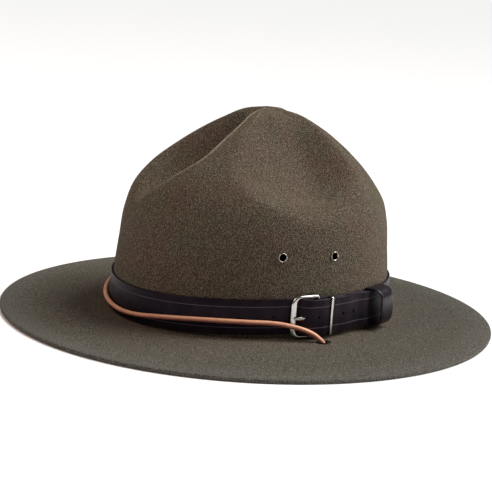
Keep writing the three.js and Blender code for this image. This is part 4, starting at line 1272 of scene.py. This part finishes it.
# %% Buckle frame
FRAME_CORNERS = (2.6, 6.0, 6.0, 2.6)
HOLE_CORNERS = (0.9, 3.4, 3.4, 0.9)


def buckle_frame():
    front = -FRAME_LENGTH + HEEL_BAR / 2
    high = FRAME_HEIGHT / 2
    outer = with_sides(rounded_outline(front, -high, HEEL_BAR / 2, high, FRAME_CORNERS))
    inner_high = high - SIDE_BAR
    inner = rounded_outline(front + FRONT_BAR, -inner_high, -HEEL_BAR / 2, inner_high, HOLE_CORNERS)
    section = pillow(2.2)
    rings = []
    for a, b in zip(outer, with_sides(inner)):
        middle, half = (a + b) / 2, (a - b) / 2
        flat = middle + section[:, :1] * half
        rings.append(np.column_stack((flat, FRAME_OUT + section[:, 1] * FRAME_THICK / 2)))
    rings = np.array(rings)
    faces = ring_faces(len(rings), SECTION, loop=True)
    return wrapped("buckle_frame_piece", rings.reshape(-1, 3), faces)


dress(buckle_frame(), nickel, "nickel_plate", "buckle_frame")

# %% Prong
def prong():
    route = [*round_bar(PRONG_REACH, -40, 90, 13), (-3, PRONG_OUT + 0.1), (PRONG_HOLE, PRONG_OUT),
             (FRONT_BAR_END - PRONG_LAP, PRONG_OUT)]
    line = smooth_line(np.array(route), 60)
    left = line[:, 0] - line[-1, 0]
    half = PRONG_WIDTH / 2 * np.clip(0.5 + left / 4, 0, 1)
    half[-1] *= 0.4
    section = pillow(2.5)
    rings = []
    for point, tangent, wide in zip(line, directions(line), half):
        off = section[:, 1] * PRONG_THICK / 2
        along = point[0] - tangent[1] * off
        out = point[1] + tangent[0] * off
        rings.append(np.column_stack((along, PRONG_UP + section[:, 0] * wide, out)))
    rings = np.array(rings)
    return wrapped("buckle_prong_piece", rings.reshape(-1, 3), ring_faces(len(rings), SECTION, caps=True))


dress(prong(), nickel, "nickel_plate", "buckle_prong")

# %% [markdown]
# ## The two keepers
# Behind the buckle a thin wire loop holds the tail down, and further back a wide leather loop that
# stands well off the strap. Both are closed loops round the strap, so both are a section carried
# round an outline in the plane across the strap.

# %% Wire keeper
WIRE_CORNERS = (1.2, 1.0, 1.0, 1.2)


def wire_keeper():
    high = STRAP_WIDTH / 2 + SIDE_GAP + WIRE_THICK / 2
    outline = with_sides(rounded_outline(WIRE_BACK, -high, WIRE_FRONT, high, WIRE_CORNERS))
    section = pillow(2.3)
    rings = []
    for point, tangent in zip(outline, directions(outline, loop=True)):
        off = section[:, 1] * WIRE_THICK / 2
        out = point[0] + tangent[1] * off
        up = point[1] - tangent[0] * off
        rings.append(np.column_stack((WIRE_PLACE + section[:, 0] * WIRE_WIDTH / 2, up, out)))
    rings = np.array(rings)
    return wrapped("wire_keeper_piece", rings.reshape(-1, 3), ring_faces(len(rings), SECTION, loop=True))


dress(wire_keeper(), nickel, "nickel_plate", "wire_keeper")

# %% Leather keeper
KEEPER_SECTION = 40  # points


def bezier(a, b, c, d, steps):
    """Points along a curve that leaves a towards b and reaches d from c, without the last."""
    t = np.linspace(0, 1, steps, endpoint=False)[:, None]
    return a * (1 - t) ** 3 + 3 * b * t * (1 - t) ** 2 + 3 * c * t**2 * (1 - t) + d * t**3


def keeper_outline():
    """Middle of the keeper's wall as (out, up): straight behind and bulged in front."""
    back = GAP + KEEPER_WALL / 2
    high = STRAP_WIDTH / 2 + SIDE_GAP + KEEPER_WALL / 2
    edge = SECOND_IN_KEEPER + LEATHER / 2
    bulge = KEEPER_BULGE - KEEPER_WALL / 2
    p = [np.array(v) for v in (
        (back, high - 0.8), (back, -high + 0.8), (back + 0.8, -high), (edge, -high), (bulge, -high),
        (bulge, -high / 2), (bulge, 0), (bulge, high / 2), (bulge, high), (edge, high), (back + 0.8, high),
    )]
    line = [*straight(p[0], p[1], 8), *straight(p[1], p[2], 2), *straight(p[2], p[3], 3)]
    line += [*bezier(*p[3:7], 20), *bezier(*p[6:10], 20)]
    line += [*straight(p[9], p[10], 3), *straight(p[10], p[0], 2)]
    return np.array(line)


def leather_keeper():
    outline = keeper_outline()
    section = pillow(9, KEEPER_SECTION)
    rings = []
    for point, tangent in zip(outline, directions(outline, loop=True)):
        off = section[:, 1] * KEEPER_WALL / 2
        out = point[0] + tangent[1] * off
        up = point[1] - tangent[0] * off
        far = (1 + section[:, 0]) / 2
        along = KEEPER_PLACE + far * KEEPER_WIDTH + KEEPER_SHEAR * out * (1 - far)
        rings.append(np.column_stack((along, up, out)))
    rings = np.array(rings)
    faces = ring_faces(len(rings), KEEPER_SECTION, loop=True)
    return wrapped("leather_keeper_piece", rings.reshape(-1, 3), faces)


dress(leather_keeper(), keeper_leather, "strap_leather", "leather_keeper")

# %% [markdown]
# ## Lace leather
# The lace is a narrow strip of oil tanned hide rolled round and left its natural tan. It is
# painted lighter on the top, a painted highlight where the light falls, and redder below, painted shade.

# %% Lace material
# painted light and shade: the lace's top painted lighter tan, its underside painted redder
LACE_LIT_TAN = "#E2A985"
LACE_SHADED_RED = "#9E5A4A"
LACE_DARK = "#8A5442"
FIBRE = 0.5  # mm
STREAKS = (0.48, 0.66)  # of the fibres' noise, from no dark to the most
STREAKS_MOST = 0.55


def make_lace_leather():
    material, tree, shader = new_material("oil tanned lace", roughness=0.42, ior=1.45)
    place = add_node(tree, "ShaderNodeAttribute", attribute_name="flat").outputs["Vector"]
    parts = add_node(tree, "ShaderNodeSeparateXYZ", {"Vector": place}).outputs
    # painted light and shade: lighter towards the lace's top, redder underneath
    top = ranged(tree, parts["Z"], -0.2 * LACE * MM, 0.4 * LACE * MM)
    top_lit_colour = mixed(tree, top, LACE_SHADED_RED, LACE_LIT_TAN)
    stretched = add_node(
        tree, "ShaderNodeMapping", {"Vector": place}, {"Scale": (0.15, 1, 1)},
    ).outputs["Vector"]
    fibres = noise(tree, stretched, FIBRE, 5, rough=0.7)
    colour = mixed(tree, ranged(tree, fibres, *STREAKS, most=STREAKS_MOST), top_lit_colour, LACE_DARK)
    tree.links.new(colour, shader.inputs["Base Color"])
    tree.links.new(bumped(tree, fibres, 0.4, 0.2), shader.inputs["Normal"])
    return material


lace_leather = make_lace_leather()
chin_lace.data.materials.append(lace_leather)
print("lace material:", lace_leather.name)

# %% [markdown]
# ## Floor and light
# A studio shot of a dark hat on white needs one large soft light high up and a little to the
# right, which lights the brim and the top of the crown and leaves the crown's sides darker. A
# sun with a wide angle does that and lights the floor evenly. A softbox on the right gives the
# leather and the metal something bright to mirror, and a slightly warm one lifts the left side.

# %% Floor and light
FLOOR_HALF = 9.0  # metres
FLOOR_LOW = -0.2 * MM  # just under the hat, so that the two don't share a plane
FLOOR_WHITE = "#F4F4F3"
WORLD_LIGHT = 0.12
LIGHTS = [  # name, kind, place to the right, up and towards the camera in metres, colour, settings
    ("overhead light", "SUN", (1.5, 2.2, -0.4), "#FFFFFF", {"energy": 3.5, "angle": math.radians(34)}),
    ("softbox", "AREA", (1.6, 1.0, -0.1), "#FFFFFF", {"energy": 12, "size": 0.7}),
    ("warm fill", "AREA", (-1.2, 1.4, 0.5), "#FFE2D6", {"energy": 12, "size": 0.8}),
]
LIT_PLACE = Vector((0, 0, 0.06))  # metres, what the lights point at


def make_floor():
    half = FLOOR_HALF
    corners = [(x, y, FLOOR_LOW) for x, y in ((-half, -half), (half, -half), (half, half), (-half, half))]
    mesh = bpy.data.meshes.new("floor")
    mesh.from_pydata(corners, [], [(0, 1, 2, 3)])
    floor = new_object("floor", mesh)
    material, _, shader = new_material("pale floor", roughness=0.85)
    shader.inputs["Base Color"].default_value = linear(FLOOR_WHITE)
    mesh.materials.append(material)


def light_place(side, high, near):
    """A place seen from the camera: right, up and towards it, in metres."""
    back, right, _ = camera_axes()
    level_back = Vector((back.x, back.y, 0)).normalized()
    level_right = Vector((right.x, right.y, 0)).normalized()
    return level_right * side + Vector((0, 0, 1)) * high + level_back * near


def new_light(name, kind, place, colour, **settings):
    data = bpy.data.lights.new(name, kind)
    for setting, value in settings.items():
        setattr(data, setting, value)
    data.color = linear(colour)[:3]
    light = new_object(name, data)
    light.location = place
    light.rotation_euler = (LIT_PLACE - place).to_track_quat("-Z", "Y").to_euler()
    print(name, "at", [round(v, 2) for v in place])


def make_world(strength):
    world = bpy.data.worlds.new("studio")
    world.use_nodes = True
    background = world.node_tree.nodes["Background"]
    background.inputs["Color"].default_value = linear("#FFFFFF")
    background.inputs["Strength"].default_value = strength
    bpy.context.scene.world = world


make_floor()
make_world(WORLD_LIGHT)
for name, kind, place, colour, settings in LIGHTS:
    new_light(name, kind, light_place(*place), colour, **settings)
bpy.context.scene.view_settings.view_transform = "Standard"
